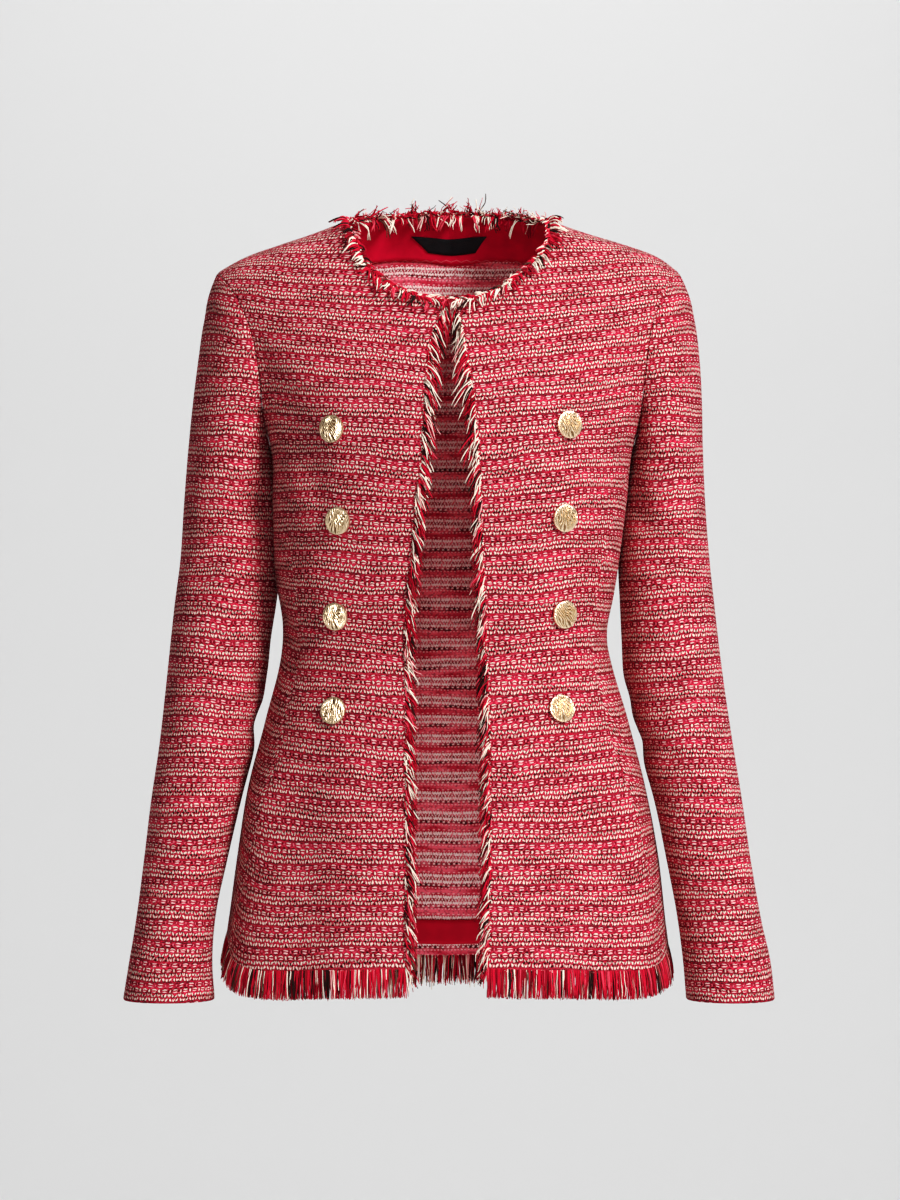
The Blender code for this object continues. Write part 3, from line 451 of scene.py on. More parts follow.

# %% [markdown]
# ## Creases
#
# Cloth that hangs on a figure is pulled where it is held and slack elsewhere. Here the pull runs from the
# bust to the armhole and from the elbow inwards, and the skirt falls in soft flutes. Each crease is a line on
# the surface with a width and a depth, listed one by one and a little different on the two sides.

# %% Folds, listed one by one
CREASED = 1.3
FOLD_COLUMNS = "start_turn start_rise end_turn end_rise width depth"
FOLDS = {
    "body": named_rows(
        FOLD_COLUMNS,
        # The main forms
        (-66, 0.30, -46, -0.06, 0.020, 0.0032),
        (64, 0.36, 45, 0.02, 0.022, 0.0028),
        (-84, -0.34, -66, -0.40, 0.016, 0.0030),
        (86, -0.37, 66, -0.41, 0.016, 0.0026),
        (-42, -0.66, -37, -1.02, 0.026, 0.0040),
        (-66, -0.70, -62, -1.02, 0.026, -0.0030),
        (36, -0.68, 33, -1.02, 0.028, 0.0034),
        (62, -0.66, 58, -1.02, 0.026, -0.0032),
        (112, -0.68, 116, -1.02, 0.028, 0.0042),
        (-116, -0.64, -120, -1.02, 0.028, 0.0046),
        (150, -0.72, 153, -1.02, 0.030, -0.0034),
        (-154, -0.70, -158, -1.02, 0.030, -0.0030),
        (140, -0.33, 174, -0.36, 0.018, 0.0034),
        (-174, -0.42, -138, -0.38, 0.018, 0.0038),
        (118, 0.28, 140, -0.02, 0.022, 0.0034),
        (-116, 0.32, -138, 0.04, 0.022, 0.0030),
        # Finer creases between them
        (-58, -0.02, -36, -0.16, 0.011, 0.0012),
        (57, -0.04, 38, -0.20, 0.012, 0.0012),
        (-82, -0.26, -52, -0.30, 0.010, 0.0013),
        (84, -0.28, 54, -0.33, 0.010, 0.0012),
        (-62, -0.46, -34, -0.43, 0.011, 0.0011),
        (60, -0.48, 34, -0.46, 0.011, 0.0011),
        (158, -0.24, 120, -0.30, 0.012, 0.0014),
        (-160, -0.27, -124, -0.24, 0.012, 0.0014),
        (176, -0.50, 146, -0.53, 0.013, 0.0014),
        (-112, -0.46, -146, -0.50, 0.013, 0.0015),
        (170, 0.10, 150, -0.10, 0.016, 0.0013),
        (-168, 0.16, -152, -0.06, 0.016, 0.0012),
    ),
    "right": named_rows(
        FOLD_COLUMNS,
        # The main forms
        (168, -0.395, 100, -0.372, 0.014, 0.0040),
        (196, -0.430, 112, -0.425, 0.014, 0.0036),
        (128, -0.238, 62, -0.300, 0.016, 0.0034),
        (-128, -0.260, -60, -0.330, 0.018, 0.0034),
        (-150, -0.430, -70, -0.460, 0.016, 0.0032),
        (60, -0.560, 120, -0.585, 0.014, 0.0022),
        # Finer creases between them
        (150, -0.350, 88, -0.338, 0.009, 0.0017),
        (176, -0.412, 120, -0.398, 0.008, 0.0015),
        (160, -0.470, 96, -0.476, 0.010, 0.0014),
        (108, -0.200, 66, -0.232, 0.011, 0.0014),
        (-150, -0.330, -96, -0.372, 0.010, 0.0015),
        (-110, -0.500, -40, -0.520, 0.012, 0.0013),
        (30, -0.610, 84, -0.622, 0.011, 0.0012),
    ),
    "left": named_rows(
        FOLD_COLUMNS,
        # The main forms
        (172, -0.405, 96, -0.395, 0.014, 0.0042),
        (190, -0.442, 118, -0.452, 0.014, 0.0034),
        (126, -0.250, 58, -0.325, 0.016, 0.0030),
        (-126, -0.245, -64, -0.300, 0.018, 0.0036),
        (-146, -0.410, -66, -0.432, 0.016, 0.0034),
        (58, -0.540, 124, -0.572, 0.014, 0.0024),
        # Finer creases between them
        (154, -0.362, 84, -0.352, 0.009, 0.0016),
        (178, -0.424, 116, -0.420, 0.008, 0.0015),
        (156, -0.482, 90, -0.492, 0.010, 0.0015),
        (112, -0.206, 70, -0.246, 0.011, 0.0013),
        (-154, -0.345, -92, -0.366, 0.010, 0.0014),
        (-104, -0.480, -36, -0.505, 0.012, 0.0014),
        (26, -0.602, 88, -0.612, 0.011, 0.0012),
    ),
}


def unit(vectors):
    return vectors / np.linalg.norm(vectors, axis=-1, keepdims=True)


def travelled(points):
    """The length from the first of a run of points to each of them."""
    return np.concatenate([[0], np.cumsum(np.linalg.norm(np.diff(points, axis=0), axis=-1))])


def distance(points, line):
    """How far points lie from a run of straight steps."""
    nearest = np.full(points.shape[:-1], np.inf)
    for start, end in zip(line, line[1:]):
        step = end - start
        share = np.clip(np.sum((points - start) * step, axis=-1) / np.sum(step * step), 0, 1)
        gap = np.linalg.norm(points - start - share[..., None] * step, axis=-1)
        nearest = np.minimum(nearest, gap)
    return nearest


def fold(points, outward, piece, surface, still=0.0):
    """Sinks the piece's troughs into its points, and raises its ridges, except where it stays still."""
    depth = 0
    for row in FOLDS[piece]:
        turns = np.linspace(row.start_turn, row.end_turn, FOLD_SAMPLES)
        line = surface(turns, np.linspace(row.start_rise, row.end_rise, FOLD_SAMPLES))
        depth = depth + CREASED * row.depth * np.exp(-((distance(points, line) / row.width) ** 2))
    return points - outward * np.expand_dims(depth * (1 - still), -1)


print("folds:", {piece: len(rows) for piece, rows in FOLDS.items()})

# %% [markdown]
# ## Places on the surface
#
# A table's column is read on a smooth curve through its rows. A height on the shoulder depends on how far
# out it is, which depends on the height, so it is found by repeating until it settles.

# %% The body's surface


def smooth(table, column, at):
    """A column of a table at any place in its first column, on a smooth curve through the rows."""
    rows = sorted(table)
    knots = np.array([row[0] for row in rows])
    values = np.array([getattr(row, column) for row in rows])
    slopes = np.gradient(values, knots)
    at = np.clip(np.asarray(at, float), knots[0], knots[-1])
    k = np.clip(np.searchsorted(knots, at) - 1, 0, len(knots) - 2)
    span = knots[k + 1] - knots[k]
    t = (at - knots[k]) / span
    ahead = values[k] * (1 + 2 * t) * (1 - t) ** 2 + slopes[k] * span * t * (1 - t) ** 2
    behind = values[k + 1] * t**2 * (3 - 2 * t) - slopes[k + 1] * span * t**2 * (1 - t)
    return ahead + behind


def hem_lift(angle):
    """How much higher the hem is drawn up at the wearer's right side and, a little, at the left."""
    right = np.exp(-(((np.asarray(angle) + LIFT_MIDDLE) / LIFT_SPREAD) ** 2))
    left = np.exp(-(((np.asarray(angle) - LIFT_MIDDLE) / LIFT_SPREAD) ** 2))
    return LIFT_RIGHT * right + LIFT_LEFT * left


def body_point(angle, level):
    """Points on the body, for arrays of angles in degrees and of levels."""
    turn = np.radians(angle)
    across = np.abs(np.sin(turn)) ** (2 / PLAN_POWER)
    deep = np.abs(np.cos(turn)) ** (2 / PLAN_POWER)
    rise = np.sin(np.clip(level, 0, 1) * math.pi / 2)
    hem = smooth(HEM, "height", np.abs(angle)) + hem_lift(angle)
    height = UNDERARM + np.minimum(level, 0) * (UNDERARM - hem)
    for _ in range(HEIGHT_ROUNDS):
        reach = smooth(BODY, "half_width", height) * across
        ridge = smooth(SHOULDER, "height", reach)
        height = np.where(level > 0, UNDERARM + (ridge - UNDERARM) * rise, height)
    closing = np.sqrt(np.clip(1 - rise**SHOULDER_POWER, 0, 1))
    front = -smooth(BODY, "front", height) * deep * closing
    back = smooth(BODY, "back", height) * deep * closing
    x = smooth(BODY, "centre", height) + np.sign(np.sin(turn)) * reach
    return np.stack([x, np.where(np.cos(turn) >= 0, front, back), height], axis=-1)


def body_normal(angle, level):
    """The outward direction of the body's surface."""
    small_angle, small_level = 0.05, 0.001
    round_it = body_point(angle + small_angle, level) - body_point(angle - small_angle, level)
    on_ridge = np.asarray(level) > 1 - small_level
    above = np.where(on_ridge, level, level + small_level)
    up_it = body_point(angle, above) - body_point(angle, level - small_level)
    over = np.where(np.cos(np.radians(angle)) >= 0, 1.0, -1.0)
    flat = np.stack([0 * over, over, 0 * over], axis=-1)
    up_it = np.where(on_ridge[..., None], flat, up_it)
    return unit(np.cross(round_it, up_it))


def angle_at(reach, height):
    """The angle from the front centre, under 90 degrees, of a place this far out from the body's middle."""
    share = np.clip(reach / smooth(BODY, "half_width", height), 0, 1)
    return np.degrees(np.arcsin(share ** (PLAN_POWER / 2)))


def level_at(reach, height):
    """The level of a height at or above the underarm."""
    share = (height - UNDERARM) / (smooth(SHOULDER, "height", reach) - UNDERARM)
    return np.arcsin(np.clip(share, 0, 1)) * 2 / math.pi


print("front of the waist at", body_point(np.array(0.0), np.array(-0.4)).round(3))

# %% [markdown]
# ## Cut lines
#
# Each edge of a panel is a curve on the surface: the armhole, the neck, the shoulder seam, the front edge
# and the side seam. A panel's grid is filled in between its four edges and then relaxed, so that its lines
# cross evenly.

# %% The panels' edges


def evenly(points, steps):
    """Places along a run of points, as fractions of the run, that cut it into steps of equal length."""
    run = travelled(points)
    return np.interp(np.linspace(0, run[-1], steps + 1), run, np.linspace(0, 1, len(points)))


def even_curve(curve, steps):
    """Angles and levels along a curve on the body, a function of a fraction, at equal steps."""
    angle, level = curve(np.linspace(0, 1, CURVE_SAMPLES))
    return np.stack(curve(evenly(body_point(angle, level), steps)))


def armhole_curve(part):
    def curve(share):
        height = UNDERARM + (SHOULDER_TIP - UNDERARM) * (1 - np.cos(math.pi * share)) / 2
        reach = smooth(ARMHOLE, part, height)
        level = np.where(share >= 1, 1.0, level_at(reach, height))
        return angle_at(reach, height), np.where(share <= 0, 0.0, level)

    return curve


def neck_curve(part, start):
    """From the middle of the front or back, at a distance from the centre, to the shoulder seam."""

    def curve(share):
        turn = math.acos(start / NECK_HALF_WIDTH) * (1 - share)
        reach = NECK_HALF_WIDTH * np.cos(turn)
        if part == "front":
            height = NECK_SIDE - (NECK_SIDE - NECK_FRONT) * np.sin(turn)
        else:
            height = NECK_SIDE + (NECK_BACK - NECK_SIDE) * np.sin(turn) ** 2
        return angle_at(reach, height), np.where(share >= 1, 1.0, level_at(reach, height))

    return curve


def shoulder_curve(share):
    tip = smooth(ARMHOLE, "front", SHOULDER_TIP)
    reach = NECK_HALF_WIDTH + (tip - NECK_HALF_WIDTH) * share
    height = smooth(SHOULDER, "height", reach)
    return angle_at(reach, height), np.ones_like(share)


def front_edge_curve(side):
    def curve(share):
        height = UNDERARM + (NECK_FRONT - UNDERARM) * share
        reach = smooth(FRONT_EDGE, side, height)
        return angle_at(reach, height), level_at(reach, height)

    return curve


def underarm_curve(start, end):
    def curve(share):
        return start + (end - start) * share, 0 * share

    return curve


def back_centre_curve(share):
    top = level_at(0.0, NECK_BACK)
    return 0 * share, top * share


shoulder_seam = body_point(*even_curve(shoulder_curve, SHOULDER_STEPS))
print("shoulder seam:", round(float(travelled(shoulder_seam)[-1]), 3), "m")

# %% The coarse grid of a half panel


def fill_between(foot, head, middle, side):
    """A grid between four edges that meet at its corners (a Coons patch)."""
    u = np.linspace(0, 1, foot.shape[1])[None, None, :]
    v = np.linspace(0, 1, middle.shape[1])[None, :, None]
    rows = (1 - v) * foot[:, None, :] + v * head[:, None, :]
    columns = (1 - u) * middle[:, :, None] + u * side[:, :, None]
    low = (1 - u) * foot[:, 0][:, None, None] + u * foot[:, -1][:, None, None]
    high = (1 - u) * head[:, 0][:, None, None] + u * head[:, -1][:, None, None]
    return rows + columns - (1 - v) * low - v * high


def relax(grid):
    """Moves the inside of a grid of angles and levels so that its lines cross evenly and nowhere fold."""
    for _ in range(RELAX_ROUNDS):
        points = body_point(*grid)
        across = (points[1:-1, 2:] - points[1:-1, :-2]) / 2
        up = (points[2:, 1:-1] - points[:-2, 1:-1]) / 2
        across_weight, up_weight = np.sum(up * up, axis=-1), np.sum(across * across, axis=-1)
        shear = np.sum(up * across, axis=-1)
        beside = grid[:, 1:-1, 2:] + grid[:, 1:-1, :-2]
        above = grid[:, 2:, 1:-1] + grid[:, :-2, 1:-1]
        twist = (grid[:, 2:, 2:] - grid[:, 2:, :-2] - grid[:, :-2, 2:] + grid[:, :-2, :-2]) / 4
        total = across_weight * beside + up_weight * above - 2 * shear * twist
        grid[:, 1:-1, 1:-1] = total / (2 * (across_weight + up_weight))
    return grid


def half_panel(part, side):
    """Angles and levels of a front, or of half a back, from its middle line to its side."""
    if part == "front":
        middle = even_curve(front_edge_curve(side), UPPER_STEPS)
        start = float(smooth(FRONT_EDGE, side, NECK_FRONT))
    else:
        middle = even_curve(back_centre_curve, UPPER_STEPS)
        start = 0.0
    armhole = even_curve(armhole_curve(part), UPPER_STEPS)
    neck = even_curve(neck_curve(part, start), NECK_STEPS)
    shoulder = even_curve(shoulder_curve, SHOULDER_STEPS)
    head = np.concatenate([neck, shoulder[:, 1:]], axis=1)
    columns = head.shape[1] - 1

    under_neck = even_curve(underarm_curve(middle[0, 0], NECK_FOOT_ANGLE), NECK_STEPS)
    under_shoulder = even_curve(underarm_curve(NECK_FOOT_ANGLE, 90.0), SHOULDER_STEPS)
    foot = np.concatenate([under_neck, under_shoulder[:, 1:]], axis=1)
    upper = relax(fill_between(foot, head, middle, armhole))
    spread = (foot[0] - foot[0, 0]) / (foot[0, -1] - foot[0, 0])
    lower = []
    for level in np.linspace(-1, 0, LOWER_STEPS + 1)[:-1]:
        height = UNDERARM + level * SKIRT_LENGTH
        inner = angle_at(smooth(FRONT_EDGE, side, height), height) if part == "front" else 0.0
        seam = smooth(SIDE_SEAM, "angle", height)
        outer = seam if part == "front" else 180 - seam
        lower.append([inner + (outer - inner) * spread, np.full(columns + 1, level)])
    lower = np.array(lower).transpose(1, 0, 2)
    angle, level = np.concatenate([lower, upper], axis=1)
    return (angle if part == "front" else 180 - angle), level


print("a half panel has", half_panel("front", "left")[0].shape, "coarse places")

# %% [markdown]
# ## A finer grid
#
# The coarse grid is as fine as the plain panels. The eye needs round edges and smooth creases, so the grid
# is read again at steps of 3 to 4 mm, on a smooth curve through the coarse places, with a few closer lines
# beside every edge. There the wall thins towards its rim: an edge of cloth is round, and two such edges side
# by side make a seam's groove.

# %% Reading the grid at finer steps
RIM_DISTANCES = [0.0, 0.5 * MM, 1.1 * MM, 2.0 * MM]
RIM_SHARES = [1.0, 0.45, 0.14, 0.0]
RIM_DEPTH = 0.42
NECK_COLUMN_STEP, SHOULDER_COLUMN_STEP = 0.018, 0.021
LOWER_ROW_STEP, UPPER_ROW_STEP = 0.034, 0.020
COLUMN_PARTS, LOWER_PARTS, UPPER_PARTS = 5, 10, 6


def read_matrix(places, knots):
    """Weights that read coarse values at places between them, smooth within each span between knots."""
    weights = np.zeros((len(places), knots[-1] + 1))
    for row, place in enumerate(places):
        span = min(np.searchsorted(knots, place, side="right") - 1, len(knots) - 2)
        first, last = knots[span], knots[span + 1]
        k = min(int(place), last - 1)
        t = place - k
        shares = (
            -t / 2 + t**2 - t**3 / 2,
            1 - 2.5 * t**2 + 1.5 * t**3,
            t / 2 + 2 * t**2 - 1.5 * t**3,
            -(t**2) / 2 + t**3 / 2,
        )
        for near, share in zip(range(k - 1, k + 3), shares):
            if near < first:
                weights[row, first] += 2 * share
                weights[row, first + 1] -= share
            elif near > last:
                weights[row, last] += 2 * share
                weights[row, last - 1] -= share
            else:
                weights[row, near] += share
    return weights


def fine_places(spans, rim_steps):
    """Places for spans of (coarse steps, parts of a step), closer together at both ends, with rim shares."""
    places, start = [], 0
    for steps, parts in spans:
        places += [start + i / parts for i in range(steps * parts)]
        start += steps
    places.append(start)
    shares = dict.fromkeys(places, 0.0)
    for step, place_at in zip(rim_steps, (lambda d: d, lambda d: start - d)):
        for gap, share in zip(RIM_DISTANCES, RIM_SHARES):
            shares[place_at(gap / step)] = share
    ordered = sorted(shares)
    return np.array(ordered), np.array([shares[place] for place in ordered])


COLUMNS, COLUMN_RIM = fine_places(
    [(NECK_STEPS, COLUMN_PARTS), (SHOULDER_STEPS, COLUMN_PARTS)], (NECK_COLUMN_STEP, SHOULDER_COLUMN_STEP)
)
ROWS, ROW_RIM = fine_places(
    [(LOWER_STEPS, LOWER_PARTS), (UPPER_STEPS, UPPER_PARTS)], (LOWER_ROW_STEP, UPPER_ROW_STEP)
)
COLUMN_READER = read_matrix(COLUMNS, [0, NECK_STEPS, NECK_STEPS + SHOULDER_STEPS])
ROW_READER = read_matrix(ROWS, [0, LOWER_STEPS, LOWER_STEPS + UPPER_STEPS])
UNDER_ROW = int(np.searchsorted(ROWS, LOWER_STEPS))
NECK_COLUMN = int(np.searchsorted(COLUMNS, NECK_STEPS))


def fine(coarse):
    return ROW_READER @ coarse @ COLUMN_READER.T


print("a fine half panel has", len(ROWS), "rows and", len(COLUMNS), "columns")

# %% [markdown]
# ## The run of the knit
#
# The pattern follows the cloth, not the room. Each place on a panel gets a length along the rows and a
# length up the rows, in metres, stored as the panel's UV map. Up the rows is measured along the surface, so
# the rows draw together where the shoulder turns away. At the hem they run with the edge, and at the waist
# they climb a little towards the sides, where the fitted cloth is eased.

# %% Lengths along and up the cloth
MERIDIAN_STEP = 2.0
MERIDIANS = np.arange(0.0, 180.0 + MERIDIAN_STEP / 2, MERIDIAN_STEP)
LEVELS = np.linspace(-1, 1, 121)
LAST_SPAN = 1.001
CLIMB_POWER = 1.5
HEM_HOLD = 0.16
SHOWN_MERIDIAN = 20

CLIMB = named_rows(
    "height right left back",
    (-0.640, 0.000, 0.000, 0.000),
    (-0.550, 0.004, 0.004, 0.002),
    (-0.450, 0.008, 0.008, 0.004),
    (-0.360, 0.011, 0.011, 0.005),
    (-0.280, 0.007, 0.009, 0.003),
    (-0.190, 0.002, 0.008, 0.000),
    (-0.080, 0.001, 0.008, 0.000),
    (0.030, 0.001, 0.006, 0.000),
)


def climb_table():
    """The length up the surface from the underarm, for each meridian and level."""
    points = body_point(*np.meshgrid(MERIDIANS, LEVELS, indexing="ij"))
    steps = np.hypot(*np.moveaxis(np.diff(points[..., 1:], axis=1), -1, 0))
    table = np.concatenate([np.zeros((len(MERIDIANS), 1)), np.cumsum(steps, axis=1)], axis=1)
    return table - table[:, [np.searchsorted(LEVELS, 0.0)]]


CLIMB_TABLE = climb_table()


def up_the_cloth(angle, level, height, part):
    """The length up the rows from the hem, less the part's climb towards its side."""
    a = np.clip(np.abs(angle) / MERIDIAN_STEP, 0, len(MERIDIANS) - LAST_SPAN)
    b = np.clip((level + 1) / (LEVELS[1] - LEVELS[0]), 0, len(LEVELS) - LAST_SPAN)
    i, j = a.astype(int), b.astype(int)
    s, t = a - i, b - j
    low = CLIMB_TABLE[i, j] * (1 - s) + CLIMB_TABLE[i + 1, j] * s
    high = CLIMB_TABLE[i, j + 1] * (1 - s) + CLIMB_TABLE[i + 1, j + 1] * s
    up = low * (1 - t) + high * t
    out = np.clip(np.abs(np.sin(np.radians(angle))), 0, 1) ** CLIMB_POWER
    up = up - smooth(CLIMB, part, height) * out
    hem = up[:1].mean()
    hold = np.clip(1 - (up - up[:1]) / HEM_HOLD, 0, 1)
    return up - hem + (hem - up[:1]) * hold**2 * (3 - 2 * hold)


def along_the_rows(points):
    """The level length from each row's first column."""
    steps = np.hypot(*np.moveaxis(np.diff(points[..., :2], axis=1), -1, 0))
    return np.concatenate([np.zeros((len(points), 1)), np.cumsum(steps, axis=1)], axis=1)


shown = CLIMB_TABLE[SHOWN_MERIDIAN]
print("hem to shoulder along the front:", round(float(shown[-1] - shown[0]), 3), "m")

# %% [markdown]
# ## Panels of the body
#
# Two fronts and a back, which is one piece from side seam to side seam. A panel is kept as its outer points,
# the step through its wall at each, its run of the knit, and how near each place is to a rim.

# %% Fronts and back
Panel = namedtuple("Panel", "points through knit rim")
RIM = np.maximum(ROW_RIM[:, None], COLUMN_RIM[None, :])
STILL_WITHIN = 4
STILL_SHARE = 0.6


def near_armhole():
    """How still the seam holds the cloth: most at the armhole's edge, and not at all a few columns in."""
    columns = np.clip(1 - (COLUMNS[-1] - COLUMNS) * COLUMN_PARTS / STILL_WITHIN, 0, 1)
    rows = np.clip((ROWS - LOWER_STEPS) * UPPER_PARTS / STILL_WITHIN, 0, 1)
    return rows[:, None] * columns[None, :] * STILL_SHARE


def body_half(part, side):
    """Points, outward directions and knit of a front, or of half a back, on one side."""
    coarse_angle, coarse_level = half_panel(part, side)
    angle, level = fine(coarse_angle), np.minimum(fine(coarse_level), 1)
    level[UNDER_ROW] = 0
    level[-1, NECK_COLUMN:] = 1
    angle = angle * SIDES[side]
    plain = body_point(angle, level)
    outward = body_normal(angle, level)
    points = fold(plain, outward, "body", body_point, near_armhole())
    up = up_the_cloth(angle, level, plain[..., 2], side if part == "front" else "back")
    knit = np.stack([along_the_rows(plain), up], axis=-1)
    return points, outward, knit


HALVES = {(part, side): body_half(part, side) for part in ("front", "back") for side in SIDES}


def join_back():
    """The whole back: columns from the wearer's right to the wearer's left."""
    right, left = HALVES["back", "right"], HALVES["back", "left"]
    joined = [np.concatenate([r[:, :0:-1], l], axis=1) for r, l in zip(right, left)]
    joined[2][:, : len(COLUMNS) - 1, 0] *= -1
    return joined


print("back panel:", join_back()[0].shape)

# %% [markdown]
# ## Sleeves
#
# A set-in sleeve starts on the armhole's line and settles into a tube that bends at the elbow. Its rings
# tilt from the armhole's slant to level. Where the sleeve and the body meet, the two walls share a mitre and
# lap a little, as a sewn seam does, so that no light comes through. Under the arm the cloth turns back on
# itself and each wall keeps its own thickness.

# %% Sleeve rings
HEAD_PARTS, ARM_PARTS = 40, 122
CAP_ROLL = 0.0016
CAP_ROLL_END = 0.16
CAP_ROLL_REACH = 0.4
LEVEL_ONLY = np.array([1, 1, 0])
ARC_SAMPLES = 12


def arm_point(side, turn, height):
    """A place on the straight part of a sleeve: turn 0 is its outer side, 90 degrees its front."""
    table = ARMS[side]
    outer, inner = smooth(table, "outer", height), smooth(table, "inner", height)
    x = (outer + inner) / 2 + (outer - inner) / 2 * np.cos(turn)
    y = smooth(table, "middle", height) - smooth(table, "half_depth", height) * np.sin(turn)
    return np.stack([SIDES[side] * x, y, height + 0 * turn], axis=-1)


def armhole_loop(front, back_half):
    """A grid's values once round the armhole, up the front from the underarm and down the back."""
    up = front[UNDER_ROW:, -1]
    down = back_half[UNDER_ROW:, -1]
    return np.concatenate([up, down[-2:0:-1]])


def ring_outward(rings, side):
    """Outward directions of a tube's rings."""
    round_it = np.roll(rings, -1, axis=1) - np.roll(rings, 1, axis=1)
    along = np.gradient(rings, axis=0)
    return unit(np.cross(along, round_it)) * SIDES[side]


def rim_steps(count, length, share_at_start=True):
    """Fractions of a run with closer steps at one end, and the rim share at each."""
    rims = dict(zip((gap / length for gap in RIM_DISTANCES), RIM_SHARES))
    for step in range(1, count + 1):
        rims.setdefault(step / count, 0.0)
    ordered = sorted(rims)
    shares = [rims[place] for place in ordered]
    if share_at_start:
        return np.array(ordered), np.array(shares)
    return 1 - np.array(ordered[::-1]), np.array(shares[::-1])


def turns_round(loop):
    """The turn round the sleeve at each place of the armhole, even between the coarse grid's places."""
    top, foot = loop[:, 2].max(), loop[:, 2].min()
    last = len(ROWS) - 1 - UNDER_ROW
    whole = np.flatnonzero(np.isclose(ROWS[UNDER_ROW:] % 1, 0))
    knots = np.unique(np.concatenate([whole, 2 * last - whole]))
    closed = np.concatenate([loop, loop[:1]])
    run = travelled(closed)
    turn = np.arccos(np.clip((2 * closed[knots, 2] - top - foot) / (top - foot), -1, 1))
    turn[knots == last] = 0
    return np.interp(run[:-1], run[knots], np.where(knots <= last, turn, -turn))


def sleeve_rings(side, loop):
    """Rings of points from the armhole to the cuff, with their outward directions and rim shares."""
    top, foot = loop[:, 2].max(), loop[:, 2].min()
    turn = turns_round(loop)
    away = loop - arm_point(side, turn, loop[:, 2])
    head, head_rim = rim_steps(HEAD_PARTS, top - SLEEVE_HEAD_END)
    rings = []
    for t in head:
        outer = top + (SLEEVE_HEAD_END - top) * t
        inner = foot + (SLEEVE_HEAD_END - foot) * t**UNDERARM_EASE
        height = (outer + inner) / 2 + (outer - inner) / 2 * np.cos(turn)
        rings.append(arm_point(side, turn, height) + away * (1 - t) ** 2 * LEVEL_ONLY)
    arm, arm_rim = rim_steps(ARM_PARTS, SLEEVE_HEAD_END - CUFF, share_at_start=False)
    for t in arm[1:]:
        rings.append(arm_point(side, turn, SLEEVE_HEAD_END + (CUFF - SLEEVE_HEAD_END) * t + 0 * turn))
    rings = np.array(rings)
    rings[0] = loop
    outward = ring_outward(rings, side)

    def surface(turns, heights):
        return arm_point(side, np.radians(turns), heights)

    leave = np.clip(head / CAP_ROLL_END, 0, 1)
    still = np.concatenate([1 - leave, np.zeros(len(arm) - 1)])[:, None]
    rings = fold(rings, outward, side, surface, still)
    roll = np.concatenate([4 * leave * (1 - leave), np.zeros(len(arm) - 1)])[:, None]
    rings += outward * (roll * CAP_ROLL * np.clip(np.cos(turn) + CAP_ROLL_REACH, 0, 1))[..., None]
    return rings, ring_outward(rings, side), np.concatenate([head_rim, arm_rim[1:]])


print("a sleeve has", HEAD_PARTS, "parts in its head and", ARM_PARTS, "below it")


# %% The armhole's seam and the sleeve's knit


def armhole_seam(side, loop, body_out, sleeve_out):
    """The steps through the body's and the sleeve's walls at the armhole, and half their lap across it."""
    along = unit(np.roll(loop, -1, axis=0) - np.roll(loop, 1, axis=0))
    into_body = np.cross(body_out, along) * SIDES[side]
    into_sleeve = np.cross(along, sleeve_out) * SIDES[side]
    bend = np.sum(body_out * sleeve_out, axis=-1, keepdims=True)
    own = np.clip((FULL_MITRE - bend) / (FULL_MITRE - NO_MITRE), 0, 1)
    mitre = (body_out + sleeve_out) / np.maximum(1 + bend, LEAST_MITRE)
    body_step = mitre * (1 - own) + body_out * own
    sleeve_step = mitre * (1 - own) + sleeve_out * own
    over = (into_sleeve - into_body) * (1 - own) + (body_out - sleeve_out) * own
    return body_step * WALL, sleeve_step * WALL, unit(over) * ARMHOLE_LAP / 2


def sleeve_knit(rings, side):
    """The run of the knit: round from the outer line along the sleeve's section, and up from the cuff."""
    columns = rings.shape[1]
    closed = np.concatenate([rings, rings[:, :1]], axis=1)
    table, height = ARMS[side], closed[..., 2]
    outer, inner = smooth(table, "outer", height), smooth(table, "inner", height)
    wide, deep = (outer - inner) / 2, smooth(table, "half_depth", height)
    x = closed[..., 0] * SIDES[side] - (outer + inner) / 2
    y = smooth(table, "middle", height) - closed[..., 1]
    turn = np.unwrap(np.arctan2(y / deep, x / wide), axis=1)
    turn -= math.tau * np.round(turn[:, columns // 2] / math.tau)[:, None]
    parts = (np.arange(ARC_SAMPLES) + 0.5) / ARC_SAMPLES
    swept = turn[..., None] * parts
    steep = np.hypot(wide[..., None] * np.sin(swept), deep[..., None] * np.cos(swept))
    round_it = -turn * steep.mean(axis=-1)
    steps = np.linalg.norm(np.diff(closed, axis=0), axis=-1)
    down = np.concatenate([np.zeros((1, columns + 1)), np.cumsum(steps, axis=0)])
    return np.stack([round_it, down[-1:] - down], axis=-1)


print("the walls lap by", ARMHOLE_LAP / MM, "mm at the armholes")

# %% All the panels together


